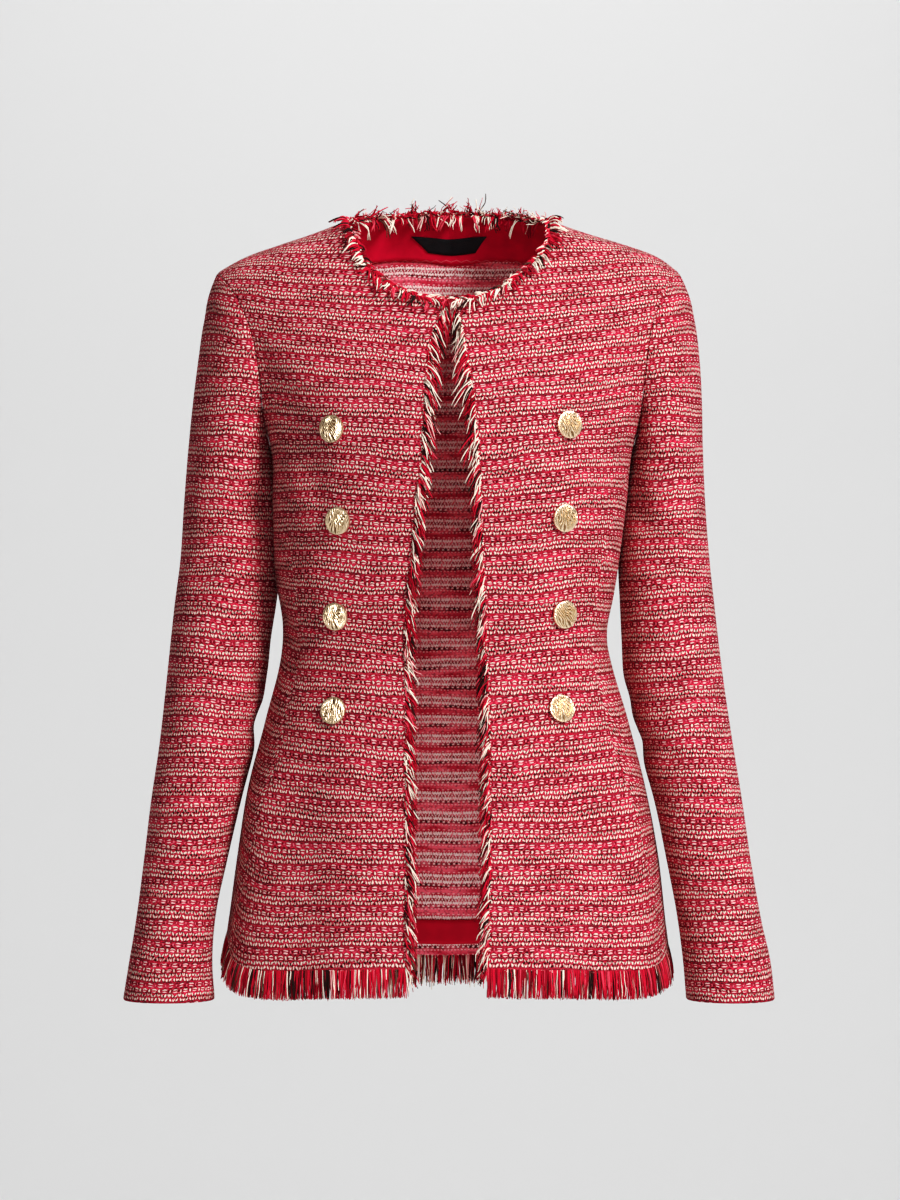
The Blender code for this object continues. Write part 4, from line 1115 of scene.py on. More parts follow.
def cut_panels():
    """Every panel, with the armhole seams' mitres and laps."""
    panels, walls = {}, {}
    for side in SIDES:
        points, outward, knit = HALVES["front", side]
        walls[f"front_{side}"] = [points.copy(), outward * WALL, knit, RIM.copy()]
    points, outward, knit = join_back()
    back_rim = np.concatenate([RIM[:, :0:-1], RIM], axis=1)
    middle = len(COLUMNS) - 1
    for near in range(1, len(RIM_SHARES)):
        for column in (middle - near, middle, middle + near):
            back_rim[:, column] = ROW_RIM
    walls["back"] = [points, outward * WALL, knit, back_rim]
    for side, sign in SIDES.items():
        loop = armhole_loop(HALVES["front", side][0], HALVES["back", side][0])
        body_out = unit(armhole_loop(HALVES["front", side][1], HALVES["back", side][1]))
        rings, ring_out, ring_rim = sleeve_rings(side, loop)
        body_step, sleeve_step, lap = armhole_seam(side, loop, body_out, ring_out[0])
        steps = ring_out * WALL
        steps[0] = sleeve_step
        knit = sleeve_knit(rings, side)
        rings[0] = loop - lap
        rim = np.repeat(ring_rim[:, None], rings.shape[1], axis=1)
        walls[f"sleeve_{side}"] = [rings, steps, knit, rim]
        up = np.arange(len(ROWS) - UNDER_ROW)
        last = -1 if sign > 0 else 0
        for panel, column, order in ((f"front_{side}", -1, up), ("back", last, -up)):
            walls[panel][0][UNDER_ROW:, column] = (loop + lap)[order]
            walls[panel][1][UNDER_ROW:, column] = body_step[order]
    for name, parts in walls.items():
        panels[name] = Panel(*parts)
    return panels


PANELS = cut_panels()
for name, panel in PANELS.items():
    reach_up = round(float(panel.knit[..., 1].max()), 3)
    print(name, panel.points.shape[:2], "places, up to", reach_up, "m up")

# %% [markdown]
# ## Walls of cloth
#
# A panel becomes one closed wall: the right side of the knit outside, the reverse inside, and a thin round
# rim between them. The UV map carries the run of the knit to the material.

# %% Building a wall
REVERSE = 1


def outside(panel):
    """The right side of the cloth, drawn in at the rims."""
    return panel.points - panel.through * (RIM_DEPTH * panel.rim)[..., None]


def inside(panel):
    """The reverse, drawn out at the rims."""
    return panel.points - panel.through * (1 - RIM_DEPTH * panel.rim)[..., None]


def new_piece(name, corners, faces, materials, uv=None, face_materials=None, point_values=None):
    """An object from arrays, with its UV map and its own value at each point."""
    mesh = bpy.data.meshes.new(name)
    mesh.from_pydata(corners.reshape(-1, 3).tolist(), [], faces.tolist())
    if uv is not None:
        layer = mesh.uv_layers.new(name="cloth")
        layer.data.foreach_set("uv", uv.reshape(-1).astype(np.float32))
    if face_materials is not None:
        mesh.polygons.foreach_set("material_index", face_materials.astype(np.int32))
    for key, values in (point_values or {}).items():
        mesh.attributes.new(key, "FLOAT", "POINT").data.foreach_set("value", values.astype(np.float32))
    for material in materials:
        mesh.materials.append(material)
    mesh.shade_smooth()
    made = bpy.data.objects.new(name, mesh)
    bpy.context.collection.objects.link(made)
    return made


def wall(name, panel_outer, panel_inner, knit, materials, tube=False):
    """A closed wall between two grids of points."""
    rows, columns = panel_outer.shape[:2]
    last = columns if tube else columns - 1
    row, column = np.meshgrid(np.arange(rows - 1), np.arange(last), indexing="ij")
    row, column = row.ravel(), column.ravel()
    steps = [(0, 0), (0, 1), (1, 1), (1, 0)]
    index = np.stack([(row + r) * columns + (column + c) % columns for r, c in steps], axis=1)
    where = np.stack([knit[row + r, column + c] for r, c in steps], axis=1)
    shift = rows * columns
    faces, uvs = [index, index[:, ::-1] + shift], [where, where[:, ::-1]]
    kinds = [np.zeros(len(index)), np.full(len(index), len(materials) - 1)]
    rims = [(0, c, 0, c + 1) for c in range(last)]
    rims += [(rows - 1, c + 1, rows - 1, c) for c in range(last)]
    if not tube:
        rims += [(r + 1, 0, r, 0) for r in range(rows - 1)]
        rims += [(r, columns - 1, r + 1, columns - 1) for r in range(rows - 1)]
    rims = np.array(rims)
    a = rims[:, 0] * columns + rims[:, 1] % columns
    b = rims[:, 2] * columns + rims[:, 3] % columns
    faces.append(np.stack([b, a, a + shift, b + shift], axis=1))
    first, second = knit[rims[:, 0], rims[:, 1]], knit[rims[:, 2], rims[:, 3]]
    uvs.append(np.stack([second, first, first, second], axis=1))
    kinds.append(np.zeros(len(rims)))
    faces, uvs = np.concatenate(faces), np.concatenate(uvs)
    corners = np.concatenate([panel_outer.reshape(-1, 3), panel_inner.reshape(-1, 3)])
    return new_piece(name, corners, faces, materials, uvs, np.concatenate(kinds))


def volume(piece):
    """Signed, so a wall that is inside out shows as less than nothing."""
    bm = bmesh.new()
    bm.from_mesh(piece.data)
    size = bm.calc_volume(signed=True)
    bm.free()
    return size


print("walls can be built")

# %% [markdown]
# ## The tweed's right side
#
# The knit repeats every 9 mm along the rows and every 17.4 mm up them. From the top, a repeat has a band of
# bright red with double pink dashes, a second band with its dashes set half a repeat over, and a band of
# cream drops and ticks on red and dark ground. Each mark is an oval or a tick in the repeat, listed once,
# and so are the deep wells between stitches, where painted shade turns the ground nearly black. Noise shifts
# and dims the marks a little, as slubs in the yarn do.

# %% Marks of the pattern
REPEAT_ALONG, REPEAT_UP = 9.03 * MM, 17.4 * MM
HEM_ROW = 1.0 * MM
WIDE_MARK = 0.1

# A wander is noise that shifts the pattern along and up, in repeats for the tweed. For its reverse the shift
# along is in metres.
Wander = namedtuple("Wander", "scale detail along up")
SWAY = Wander(9.0, 2.0, 0.7, 0.90)
STRAY = Wander(330.0, 1.0, 0.26, 0.10)
STRETCH_SCALE, STRAND_SCALE = (26.0, 190.0, 1.0), (340.0, 1250.0, 1.0)
TWEED_RELIEF = 0.0006
CREAM, PALE, PINK, ROSE = (0.87, 0.57, 0.49), (0.92, 0.76, 0.66), (0.92, 0.50, 0.49), (0.80, 0.17, 0.22)
BRIGHT, RED = (0.68, 0.024, 0.072), (0.46, 0.006, 0.034)
# Crimson is also painted shade round the marks, and the second colour here is the painted shade of the wells
# between stitches
CRIMSON, WELL_SHADE, DARK = (0.20, 0.002, 0.013), (0.075, 0.001, 0.006), (0.012, 0.005, 0.004)

MARK_COLUMNS = "line at down half_along half_up bend slant colour"
MARKS = named_rows(
    MARK_COLUMNS,
    ("whole", 0.00, 0.080, 0.22, 0.030, 0.0, 0.0, "pink"),
    ("whole", 0.00, 0.200, 0.20, 0.029, 0.0, 0.0, "pink"),
    ("half", 0.00, 0.140, 0.065, 0.050, 0.0, 0.0, "rose"),
    ("half", 0.00, 0.345, 0.22, 0.028, 0.5, 0.0, "cream"),
    ("half", 0.00, 0.460, 0.19, 0.027, 0.0, 0.0, "pink"),
    ("whole", 0.00, 0.410, 0.085, 0.070, 0.0, 0.0, "cream"),
    ("whole", 0.06, 0.625, 0.060, 0.064, 0.0, 0.7, "cream"),
    ("whole", 0.34, 0.650, 0.078, 0.070, 0.0, -0.8, "cream"),
    ("whole", 0.18, 0.855, 0.080, 0.074, 0.0, -0.7, "cream"),
    ("half", 0.05, 0.875, 0.055, 0.064, 0.0, 0.6, "cream"),
)
SHADES = named_rows(
    MARK_COLUMNS,
    ("whole", 0.27, 0.765, 0.080, 0.040, 0.0, 0.0, "dark"),
    ("half", 0.00, 0.700, 0.055, 0.060, 0.0, 0.0, "dark"),
    ("whole", 0.00, 0.905, 0.075, 0.045, 0.0, 0.0, "dark"),
    ("whole", 0.20, 0.570, 0.060, 0.040, 0.0, 0.0, "dark"),
)
# Places of painted shade: the wells between stitches
SHADED_WELLS = named_rows(
    MARK_COLUMNS,
    ("whole", 0.34, 0.140, 0.070, 0.062, 0.0, 0.0, "crimson"),
    ("whole", 0.18, 0.410, 0.050, 0.062, 0.0, 0.0, "crimson"),
    ("whole", 0.00, 0.260, 0.110, 0.030, 0.0, 0.0, "crimson"),
    ("half", 0.00, 0.265, 0.110, 0.030, 0.0, 0.0, "crimson"),
)


def tweed_finish():
    finish = Finish("tweed", Roughness=0.93, Specular_IOR_Level=0.12)
    uv, along, up = finish.cloth()
    # Rows wander slowly, as knitted cloth's do, and each stitch strays a little
    sway, stray = finish.wander(SWAY, uv), finish.wander(STRAY, uv)
    x = along / REPEAT_ALONG + stray * STRAY.along + sway * SWAY.along
    y = 1 - ((up - HEM_ROW) / REPEAT_UP + stray * STRAY.up + sway * SWAY.up).part()
    whole = abs((x + 0.5).part() - 0.5)
    lines = {"whole": whole, "half": 0.5 - whole}
    # Yarn shades change along a row, in stretches some five stitches long
    vary = finish.streaks(STRETCH_SCALE, 1.0, uv)
    ply = finish.streaks(STRAND_SCALE, 2.0, uv)

    def nearness(mark):
        """How far a place is from a mark: less than 1 within it."""
        aside, middle = lines[mark.line], y - mark.down
        if mark.at:
            aside = abs(aside - mark.at + middle * mark.slant)
        if mark.bend:
            middle = middle - aside * aside * mark.bend
        wide = (aside / mark.half_along).math("POWER", 3.0 if mark.half_along > WIDE_MARK else 2.0)
        return wide + (middle / mark.half_up).math("POWER", 2.0) + (ply - 0.5) * 1.5

    masks, nearest = {}, None
    # Shade gathers in the gaps between stitches, deepest in the lower band with its petals
    for marks, low, high in ((MARKS, 1.9, 0.4), (SHADES, 2.4, 0.6), (SHADED_WELLS, 3.0, 0.6)):
        for mark in marks:
            far = nearness(mark)
            mask = far.ramp(low, high)
            held = masks.get(mark.colour)
            masks[mark.colour] = mask if held is None else held.most(mask)
            if marks is MARKS:
                nearest = far if nearest is None else nearest.least(far)
    # Painted shade: a soft ring round every mark darkens the ground to crimson, where the gaps between
    # stitches lie in shade
    ring = nearest.ramp(6.0, 1.8)
    seam = abs(abs(y - 0.5) - 0.465).ramp(0.050, 0.014) * vary.ramp(0.42, 0.60, 0.25, 1.0)
    thread = abs(abs(y - 0.405) - 0.125).ramp(0.035, 0.010) * vary.ramp(0.60, 0.45, 0.10, 0.75)
    lines_between = seam.most(thread) * ply.ramp(0.36, 0.56, 0.15, 1.0)
    dark = (masks["dark"] * vary.ramp(0.60, 0.44, 0.40, 1.0)).most(lines_between)
    ground = finish.mix(vary.ramp(0.35, 0.65), RED, BRIGHT)
    ground = finish.mix(ply.ramp(0.50, 0.66) * 0.6, ground, ROSE)
    ground = finish.mix(ring * ply.ramp(0.66, 0.45) * 0.9, ground, CRIMSON)
    # Painted shade: the wells between stitches go nearly black
    ground = finish.mix(masks["crimson"] * vary.ramp(0.62, 0.40, 0.35, 0.95), ground, WELL_SHADE)
    colour = finish.mix(dark * 0.95, ground, DARK)
    colour = finish.mix(masks["rose"] * 0.8, colour, ROSE)
    colour = finish.mix(masks["pink"] * vary.ramp(0.30, 0.60, 0.80, 1.0), colour, PINK)
    cream = finish.mix(ply.ramp(0.38, 0.60), CREAM, PALE)
    colour = finish.mix(masks["cream"] * vary.ramp(0.30, 0.58, 0.50, 1.0), colour, cream)
    height = masks["cream"].most(masks["pink"] * 0.8).most(masks["rose"] * 0.5) - dark * 0.7 + ply * 0.3
    return finish.show(colour, None, height, TWEED_RELIEF)


TWEED = tweed_finish()
print("tweed:", len(TWEED.node_tree.nodes), "nodes")

# %% [markdown]
# ## The reverse
#
# Inside, the same yarns cross behind the rows. Each repeat shows a fine zigzag of pale yarn, a row of dots, a
# second zigzag, dots on dark, and then plain red ground. The zigzags break off where a yarn dives through.

# %% Reverse of the tweed
ZIGZAG = 2.3 * MM
REVERSE_SWAY = Wander(13.0, 2.0, 1.5 * MM, 0.35)
REVERSE_STRAY = Wander(420.0, 2.0, 0.8 * MM, 0.10)
REVERSE_STRETCH = (34.0, 170.0, 1.0)
FIRST_ZIGZAG, SECOND_ZIGZAG = 0.06, 0.34
REVERSE_RED, REVERSE_ROSE, REVERSE_SHADE = (0.58, 0.030, 0.070), (0.90, 0.17, 0.23), (0.10, 0.008, 0.012)
FAINT_PINK, ROW_PINK, ZIGZAG_CREAM = (0.95, 0.55, 0.55), (0.94, 0.68, 0.64), (0.96, 0.76, 0.72)
REVERSE_RELIEF = 0.0007


def reverse_finish():
    finish = Finish("tweed_reverse", Roughness=0.93, Specular_IOR_Level=0.12)
    uv, along, up = finish.cloth()
    sway, stray = finish.wander(REVERSE_SWAY, uv), finish.wander(REVERSE_STRAY, uv)
    vary = finish.streaks(REVERSE_STRETCH, 1.0, uv)
    x = along + stray * REVERSE_STRAY.along + sway * REVERSE_SWAY.along
    y = 1 - (up / REPEAT_UP + stray * REVERSE_STRAY.up + sway * REVERSE_SWAY.up).part()
    zigzag = abs((x / ZIGZAG).part() - 0.5) * 0.15
    dots = abs((x / (REPEAT_ALONG / 3)).part() - 0.5).ramp(0.34, 0.14)
    pairs = abs((x / (REPEAT_ALONG / 2) + 0.25).part() - 0.5).ramp(0.30, 0.12)
    broken = stray.ramp(-0.14, 0.02, 0.60, 1.0)
    broken = broken * abs((x / REPEAT_ALONG).part() - 0.5).ramp(0.02, 0.09, 0.2, 1.0)
    first = abs(y - FIRST_ZIGZAG - zigzag).ramp(0.092, 0.052)
    second = abs(y - SECOND_ZIGZAG - zigzag).ramp(0.092, 0.052)
    row = abs(y - 0.235).ramp(0.055, 0.028) * dots
    last = abs(y - 0.545).ramp(0.052, 0.026) * pairs
    faint = abs(y - 0.68).ramp(0.040, 0.014) * dots * 0.5
    faint = faint + abs(y - 0.93).ramp(0.040, 0.014) * pairs * 0.5
    dark = abs(y - 0.545).ramp(0.11, 0.05).most(abs(y - 0.24).ramp(0.09, 0.03) * 0.5)
    dark = dark * vary.ramp(0.60, 0.42, 0.35, 1.0) * stray.ramp(-0.16, 0.10, 0.5, 1.0)
    ground = finish.mix(vary.ramp(0.35, 0.65), REVERSE_RED, REVERSE_ROSE)
    ground = finish.mix(stray.ramp(0.00, 0.14) * 0.5, ground, REVERSE_SHADE)
    colour = finish.mix(dark * 0.92, ground, DARK)
    colour = finish.mix(faint * 1.6, colour, FAINT_PINK)
    colour = finish.mix(row.most(last) * 0.9, colour, ROW_PINK)
    colour = finish.mix(first.most(second) * broken, colour, ZIGZAG_CREAM)
    height = first.most(second).most(row) * 0.8 - dark * 0.5
    return finish.show(colour, None, height, REVERSE_RELIEF)


TWEED_REVERSE = reverse_finish()
print("reverse:", len(TWEED_REVERSE.node_tree.nodes), "nodes")

# %% [markdown]
# ## Rows that dip
#
# Worn, the fronts turn a little over the bust, and their rows dip towards the front edges. A dip could be
# modelled into the grid, but the shape stays the same and only the rows move, so the knit's run is shifted:
# by most at the neck, and by nothing below the waist.

# %% The five panels
DIP, DIP_ACROSS = 15 * MM, 0.175
DIP_FROM, DIP_TO = -0.36, -0.10


def dipped(name, panel):
    """The knit of a panel, with the dip in a front's rows."""
    if not name.startswith("front"):
        return panel.knit
    high = np.clip((panel.points[..., 2] - DIP_FROM) / (DIP_TO - DIP_FROM), 0, 1)
    near = np.clip(1 - abs(panel.points[..., 0]) / DIP_ACROSS, 0, 1)
    shift = DIP * high**2 * (3 - 2 * high) * near
    return panel.knit + np.stack([shift * 0, shift], axis=-1)


pieces = {}
for name, panel in PANELS.items():
    piece = wall(name + "_cloth", outside(panel), inside(panel), dipped(name, panel),
                 [TWEED, TWEED_REVERSE], tube=name.startswith("sleeve"))
    if volume(piece) < 0:
        piece.data.flip_normals()
    pieces[name] = piece
    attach(piece, "root")
    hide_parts(name)
    print(name, "wall:", len(piece.data.polygons), "faces,", round(volume(piece) * 1e6, 1), "cm3")

# %% [markdown]
# ## Loose yarns
#
# The fringe is the tweed's own yarns, cut and left free. Particle hair would vanish in an export, so each
# yarn is a thin tube of a few faces: it leaves the edge one way and falls another, with a slight wave.
# Thousands of them share one mesh per edge. A number stored on each yarn picks its colour.

# %% A mesh of many yarns
YARN_RINGS, YARN_SIDES = 7, 4
Edge = namedtuple("Edge", "points off past")


def read_edge(edge, wanted):
    """An edge's points and directions at wanted lengths along it."""
    lengths = travelled(edge.points)
    return [np.stack([np.interp(wanted, lengths, run[:, i]) for i in range(3)], axis=-1) for run in edge]


def walk(edge, count, chance, jitter=0.5):
    """Roots at nearly even places along an edge, with the directions off the cloth, past it and along it."""
    places = (np.arange(count) + 0.5 + chance.uniform(-jitter, jitter, count)) / count
    wanted = places * travelled(edge.points)[-1]
    points, off, past = read_edge(edge, wanted)
    off, past = unit(off), unit(past)
    return points, off, past, unit(np.cross(off, past)), wanted


def yarn_paths(roots, leave, fall, length, chance, wave=0.0009, turn=0.42):
    """Points along each yarn, which leaves along one direction and ends along another."""
    count = len(roots)
    t = np.linspace(0, 1, YARN_RINGS)[None, :, None]
    bend = roots + leave * (length * turn)[:, None]
    tip = bend + fall * (length * (1 - turn))[:, None]
    path = (1 - t) ** 2 * roots[:, None] + 2 * t * (1 - t) * bend[:, None] + t**2 * tip[:, None]
    aside = unit(chance.normal(size=(count, 1, 3)))
    again = unit(chance.normal(size=(count, 1, 3)))
    beat = chance.uniform(0.7, 1.5, (count, 1, 1))
    phase = chance.uniform(0, math.tau, (count, 1, 1))
    swing = t * wave * chance.uniform(0.4, 1.6, (count, 1, 1))
    path += aside * swing * np.sin(math.tau * beat * t + phase)
    path += again * swing * np.cos(math.tau * beat * t * 0.8 + phase)
    return path


def tubes(paths, thick, tip_share=0.55):
    """Corners and faces of tubes round the paths."""
    count, rings = paths.shape[:2]
    along = unit(np.gradient(paths, axis=1))
    guide = np.where(np.abs(along[..., 2:3]) < 0.8, np.array([0.0, 0, 1]), np.array([1.0, 0, 0]))
    guide = np.broadcast_to(guide[:, :1], along.shape)
    side = unit(np.cross(along, guide))
    other = np.cross(along, side)
    turns = np.arange(YARN_SIDES) * math.tau / YARN_SIDES
    t = np.linspace(0, 1, rings)[None, :, None, None]
    radius = thick[:, None, None, None] * (1 - (1 - tip_share) * t**3)
    ring = np.cos(turns)[:, None] * side[:, :, None] + np.sin(turns)[:, None] * other[:, :, None]
    corners = paths[:, :, None] + ring * radius
    base = np.arange(count)[:, None, None] * rings * YARN_SIDES
    i, j = np.meshgrid(np.arange(rings - 1), np.arange(YARN_SIDES), indexing="ij")
    a = i * YARN_SIDES + j
    b = i * YARN_SIDES + (j + 1) % YARN_SIDES
    quads = np.stack([a, b, b + YARN_SIDES, a + YARN_SIDES], axis=-1).reshape(1, -1, 4)
    ends = np.array([[3, 2, 1, 0], [0, 1, 2, 3]])
    ends[1] += (rings - 1) * YARN_SIDES
    faces = np.concatenate([quads, ends[None]], axis=1) + base
    return corners.reshape(-1, 3), faces.reshape(-1, 4)


def yarn_piece(name, groups, material):
    """One mesh of several groups of (paths, thickness, colour number)."""
    corners, faces, shades, start = [], [], [], 0
    for paths, thick, shade in groups:
        some, quads = tubes(paths, thick)
        corners.append(some)
        faces.append(quads + start)
        shades.append(np.repeat(shade, paths.shape[1] * YARN_SIDES))
        start += len(some)
    values = {"yarn": np.concatenate(shades)}
    corners, faces = np.concatenate(corners), np.concatenate(faces)
    return new_piece(name, corners, faces, [material], point_values=values)


print("a yarn has", (YARN_RINGS - 1) * YARN_SIDES + 2, "faces")

# %% Yarn colours
YARNS = named_rows(
    "name colour base tuft ragged under",
    ("red", (0.60, 0.010, 0.045), 0.42, 0.28, 0.26, 0.24),
    ("crimson", (0.32, 0.004, 0.022), 0.26, 0.13, 0.24, 0.40),
    ("rose", (0.74, 0.080, 0.125), 0.07, 0.08, 0.08, 0.03),
    ("cream", (0.95, 0.83, 0.70), 0.14, 0.40, 0.16, 0.05),
    ("dark", (0.026, 0.012, 0.010), 0.11, 0.14, 0.19, 0.22),
    ("brown", (0.14, 0.070, 0.050), 0.04, 0.02, 0.07, 0.06),
    ("pink", (0.86, 0.36, 0.36), 0.02, 0.04, 0.03, 0.00),
)


def pick(count, chance, mix):
    """The number of a yarn's colour for each of a count of yarns, in the shares that a mix gives."""
    shares = np.array([getattr(row, mix) for row in YARNS])
    chosen = chance.choice(len(YARNS), size=count, p=shares / shares.sum())
    return (chosen + 0.5) / len(YARNS)


def yarn_finish():
    finish = Finish("yarn", Roughness=0.9, Specular_IOR_Level=0.15)
    number = finish.node("ShaderNodeAttribute", output=2, attribute_name="yarn")
    stops = [(i / len(YARNS), row.colour) for i, row in enumerate(YARNS)]
    colour = finish.node("ShaderNodeValToRGB", [number], stops=stops)
    fleck = finish.noise(1100.0, 2.0)
    colour = finish.mix(fleck.ramp(0.45, 0.75) * 0.25, colour, CRIMSON)
    return finish.show(colour, None, fleck, 0.0004)


YARN = yarn_finish()
print(len(YARNS), "yarn colours")

# %% [markdown]
# ## Edges that carry the yarns
#
# A yarn needs a root on the cloth's edge, a direction off the cloth and a direction past the edge. Each edge
# of a panel gives all three.

# %% Frames along the edges


def edge_of(panel, line, beside):
    """The middle of the cloth along an edge, with the directions off the cloth and past the edge."""
    run, off = panel.points[line], unit(panel.through[line])
    along = unit(np.gradient(run, axis=0))
    past = np.cross(along, off)
    past = past * np.sign(np.sum(past * (run - panel.points[beside])))
    return Edge(run - panel.through[line] / 2, off, unit(past))


def even_edge(edge, step=4 * MM):
    """The same edge at even steps, without the short steps beside the rims."""
    total = travelled(edge.points)[-1]
    points, off, past = read_edge(edge, np.linspace(0, total, max(2, int(total / step))))
    return Edge(points, unit(off), unit(past))


hem_edges = {name: even_edge(edge_of(PANELS[name], (0, slice(None)), (4, slice(None))))
             for name in ("front_right", "front_left", "back")}
front_edges = {side: even_edge(edge_of(PANELS[f"front_{side}"], (slice(None), 0), (slice(None), 4)))
               for side in SIDES}


def neck_edge():
    """The whole neck, from the wearer's right front round the back to the left front."""
    neck = slice(0, NECK_COLUMN + 1)
    middle = len(COLUMNS) - 1
    across = slice(middle - NECK_COLUMN, middle + NECK_COLUMN + 1)
    right = edge_of(PANELS["front_right"], (-1, neck), (-5, neck))
    back = edge_of(PANELS["back"], (-1, across), (-5, across))
    left = edge_of(PANELS["front_left"], (-1, neck), (-5, neck))
    runs = [np.concatenate([r, b[1:-1], l[::-1]]) for r, b, l in zip(right, back, left)]
    return even_edge(Edge(*runs))


neck = neck_edge()
print("hem, edge and neck points:", [len(edge.points) for edge in (*hem_edges.values(), neck)])

# %% [markdown]
# ## Fringes
#
# Along the hem the yarns hang straight, thick and close, in three layers. Down the front edges they lie
# steeply downwards across the opening, in tufts. Round the neck they are short and unruly over a twisted
# cord, and at the back some fall in over the facing.

# %% Putting yarns in place
DOWN = np.array([0, 0, -1.0])
CORD_YARN, CORD_STEP, CORD_UNEVEN = 0.009, 0.9, 0.2
CORD_TURNS, CORD_STRANDS = 110.0, 3


def finish_fringe(node, groups):
    """One fringe from its groups of yarns, in the place of its plain node."""
    made = yarn_piece(node + "_yarns", groups, YARN)
    pieces[node] = made
    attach(made, "root")
    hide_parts(node)
    print(node, len(made.data.polygons), "faces")


def column(values):
    """One value a row, to multiply vectors by."""
    return np.asarray(values)[:, None]


def tufted(roots, along, per_tuft, spread, chance):
    """Several yarns side by side at each root, and which root each yarn belongs to."""
    owner = np.repeat(np.arange(len(roots)), per_tuft)
    places = np.tile(np.arange(per_tuft) - (per_tuft - 1) / 2, len(roots)) * spread
    places = places + chance.normal(0, spread * 0.25, len(places))
    return roots[owner] + along[owner] * column(places), owner


def tuft_shades(owner, whole_share, mix, chance):
    """Colours of yarns in tufts: a share of them have their tuft's colour, and the others their own."""
    whole = chance.uniform(0, 1, len(owner)) < whole_share
    tufts = owner.max() + 1
    return np.where(whole, pick(tufts, chance, "tuft")[owner], pick(len(owner), chance, mix))


def cord(edge, chance, radius, lift, thick, mix):
    """Short yarns that wind round an edge one after another, so that their colours change."""
    starts = np.arange(0, travelled(edge.points)[-1] - CORD_YARN, CORD_YARN * CORD_STEP)
    wanted = starts[:, None] + np.linspace(0, CORD_YARN, YARN_RINGS)
    point, off, past = read_edge(edge, wanted)
    paths = []
    for strand in range(CORD_STRANDS):
        turn = (math.tau * (CORD_TURNS * wanted + strand / CORD_STRANDS))[..., None]
        swell = radius * (1 + CORD_UNEVEN * chance.normal(size=(len(starts), 1, 1)))
        paths.append(point + past * lift + (off * np.cos(turn) + past * np.sin(turn)) * swell)
    paths = np.concatenate(paths)
    return paths, np.full(len(paths), thick), pick(len(paths), chance, mix)


# %% Hem fringe
HEM_LENGTH = 0.0225
HEM_LAYERS = [(-0.55, 0.75 * MM), (0.0, 0.85 * MM), (0.55, 0.75 * MM)]
LOCK_WIDTH = 1.4 * MM
LOCK_LEAN, LOCK_SWAY, YARN_LEAN = 0.07, 0.06, 0.035
ODD_YARNS = 0.30
HEM_TUCK = 1.5 * MM
HEM_THICK = (0.34, 0.62)
EVEN_CUT, UNEVEN_CUT = 0.022, 0.10
HEM_SEED = 7


def hem_yarns(edge, seed, mix, ragged):
    """Flat locks of like yarns, cut straight; ragged is how unevenly they are cut."""
    chance = np.random.default_rng(seed)
    run = travelled(edge.points)[-1]
    groups = []
    for layer, spacing in HEM_LAYERS:
        count = int(run / spacing)
        roots, off, past, along, at = walk(edge, count, chance)
        lock = (at / LOCK_WIDTH + chance.uniform(0, 1)).astype(int)
        lean = chance.normal(0, LOCK_LEAN, lock.max() + 1)[lock]
        sway = chance.normal(0, LOCK_SWAY, lock.max() + 1)[lock]
        shade = pick(lock.max() + 1, chance, mix)[lock]
        odd = chance.uniform(0, 1, count) < ODD_YARNS
        shade = np.where(odd, pick(count, chance, mix), shade)
        roots = roots + off * (layer * WALL * 0.6) - past * HEM_TUCK
        leave = unit(past + off * (layer * 0.3) + along * column(lean))
        drift = along * column(lean * 1.4 + chance.normal(0, YARN_LEAN, count))
        fall = unit(DOWN + past * 0.7 + drift + off * column(sway))
        length = HEM_LENGTH * (1 + ragged * chance.normal(0, 1, count)) + HEM_TUCK
        thick = chance.uniform(*HEM_THICK, count) * MM
        groups.append((yarn_paths(roots, leave, fall, length, chance, wave=0.0005), thick, shade))
    return groups + [cord(edge, chance, 0.7 * MM, 0.2 * MM, 0.62 * MM, mix)]


for number, (name, edge) in enumerate(hem_edges.items()):
    side = name.split("_")[-1]
    mix, ragged = ("ragged", UNEVEN_CUT) if name == "back" else ("base", EVEN_CUT)
    finish_fringe(f"hem_fringe_{side}", hem_yarns(edge, HEM_SEED + number, mix, ragged))

# %% Front edge fringes
EDGE_LENGTH = 0.0165
EDGE_UNEVEN = 0.14
EDGE_TUCK = 1.2 * MM
EDGE_THICK, EDGE_TUFT_THICK = (0.42, 0.68), (0.48, 0.72)
LONGER_ABOVE = 0.40
EDGE_ROOM = 1.0 * MM
CROSSING_ABOVE = 2.5 * MM
LEAST_REACH, MOST_REACH = 0.03, 0.72
EDGE_TUFT_STEP = 3.6 * MM
WHOLE_TUFTS = 0.35
EDGE_FOOT, FOOT_OVERLAP, FOOT_SLACK, SHORTEST = 0.022, 0.002, 1.08, 0.006
EDGE_SEED = 31

EDGE_LAYERS = named_rows(
    "depth spacing mix",
    (-0.8, 1.0 * MM, "under"),
    (-0.4, 1.4 * MM, "ragged"),
    (0.2, 1.8 * MM, "ragged"),
)


def edge_reach(roots, length):
    """How far a yarn may lean into the opening, as a share of its length."""
    gap = smooth(FRONT_EDGE, "right", roots[:, 2]) + smooth(FRONT_EDGE, "left", roots[:, 2])
    room = gap / 2 - EDGE_ROOM + CROSSING_ABOVE * (roots[:, 2] > UNDERARM)
    return np.clip(room / length, LEAST_REACH, MOST_REACH)


def trimmed(length, roots, foot):
    """Yarns near the foot of the edge end where the hem's yarns end."""
    room = (roots[:, 2] - foot + FOOT_OVERLAP) * FOOT_SLACK
    return np.clip(np.minimum(length, room), SHORTEST, None)


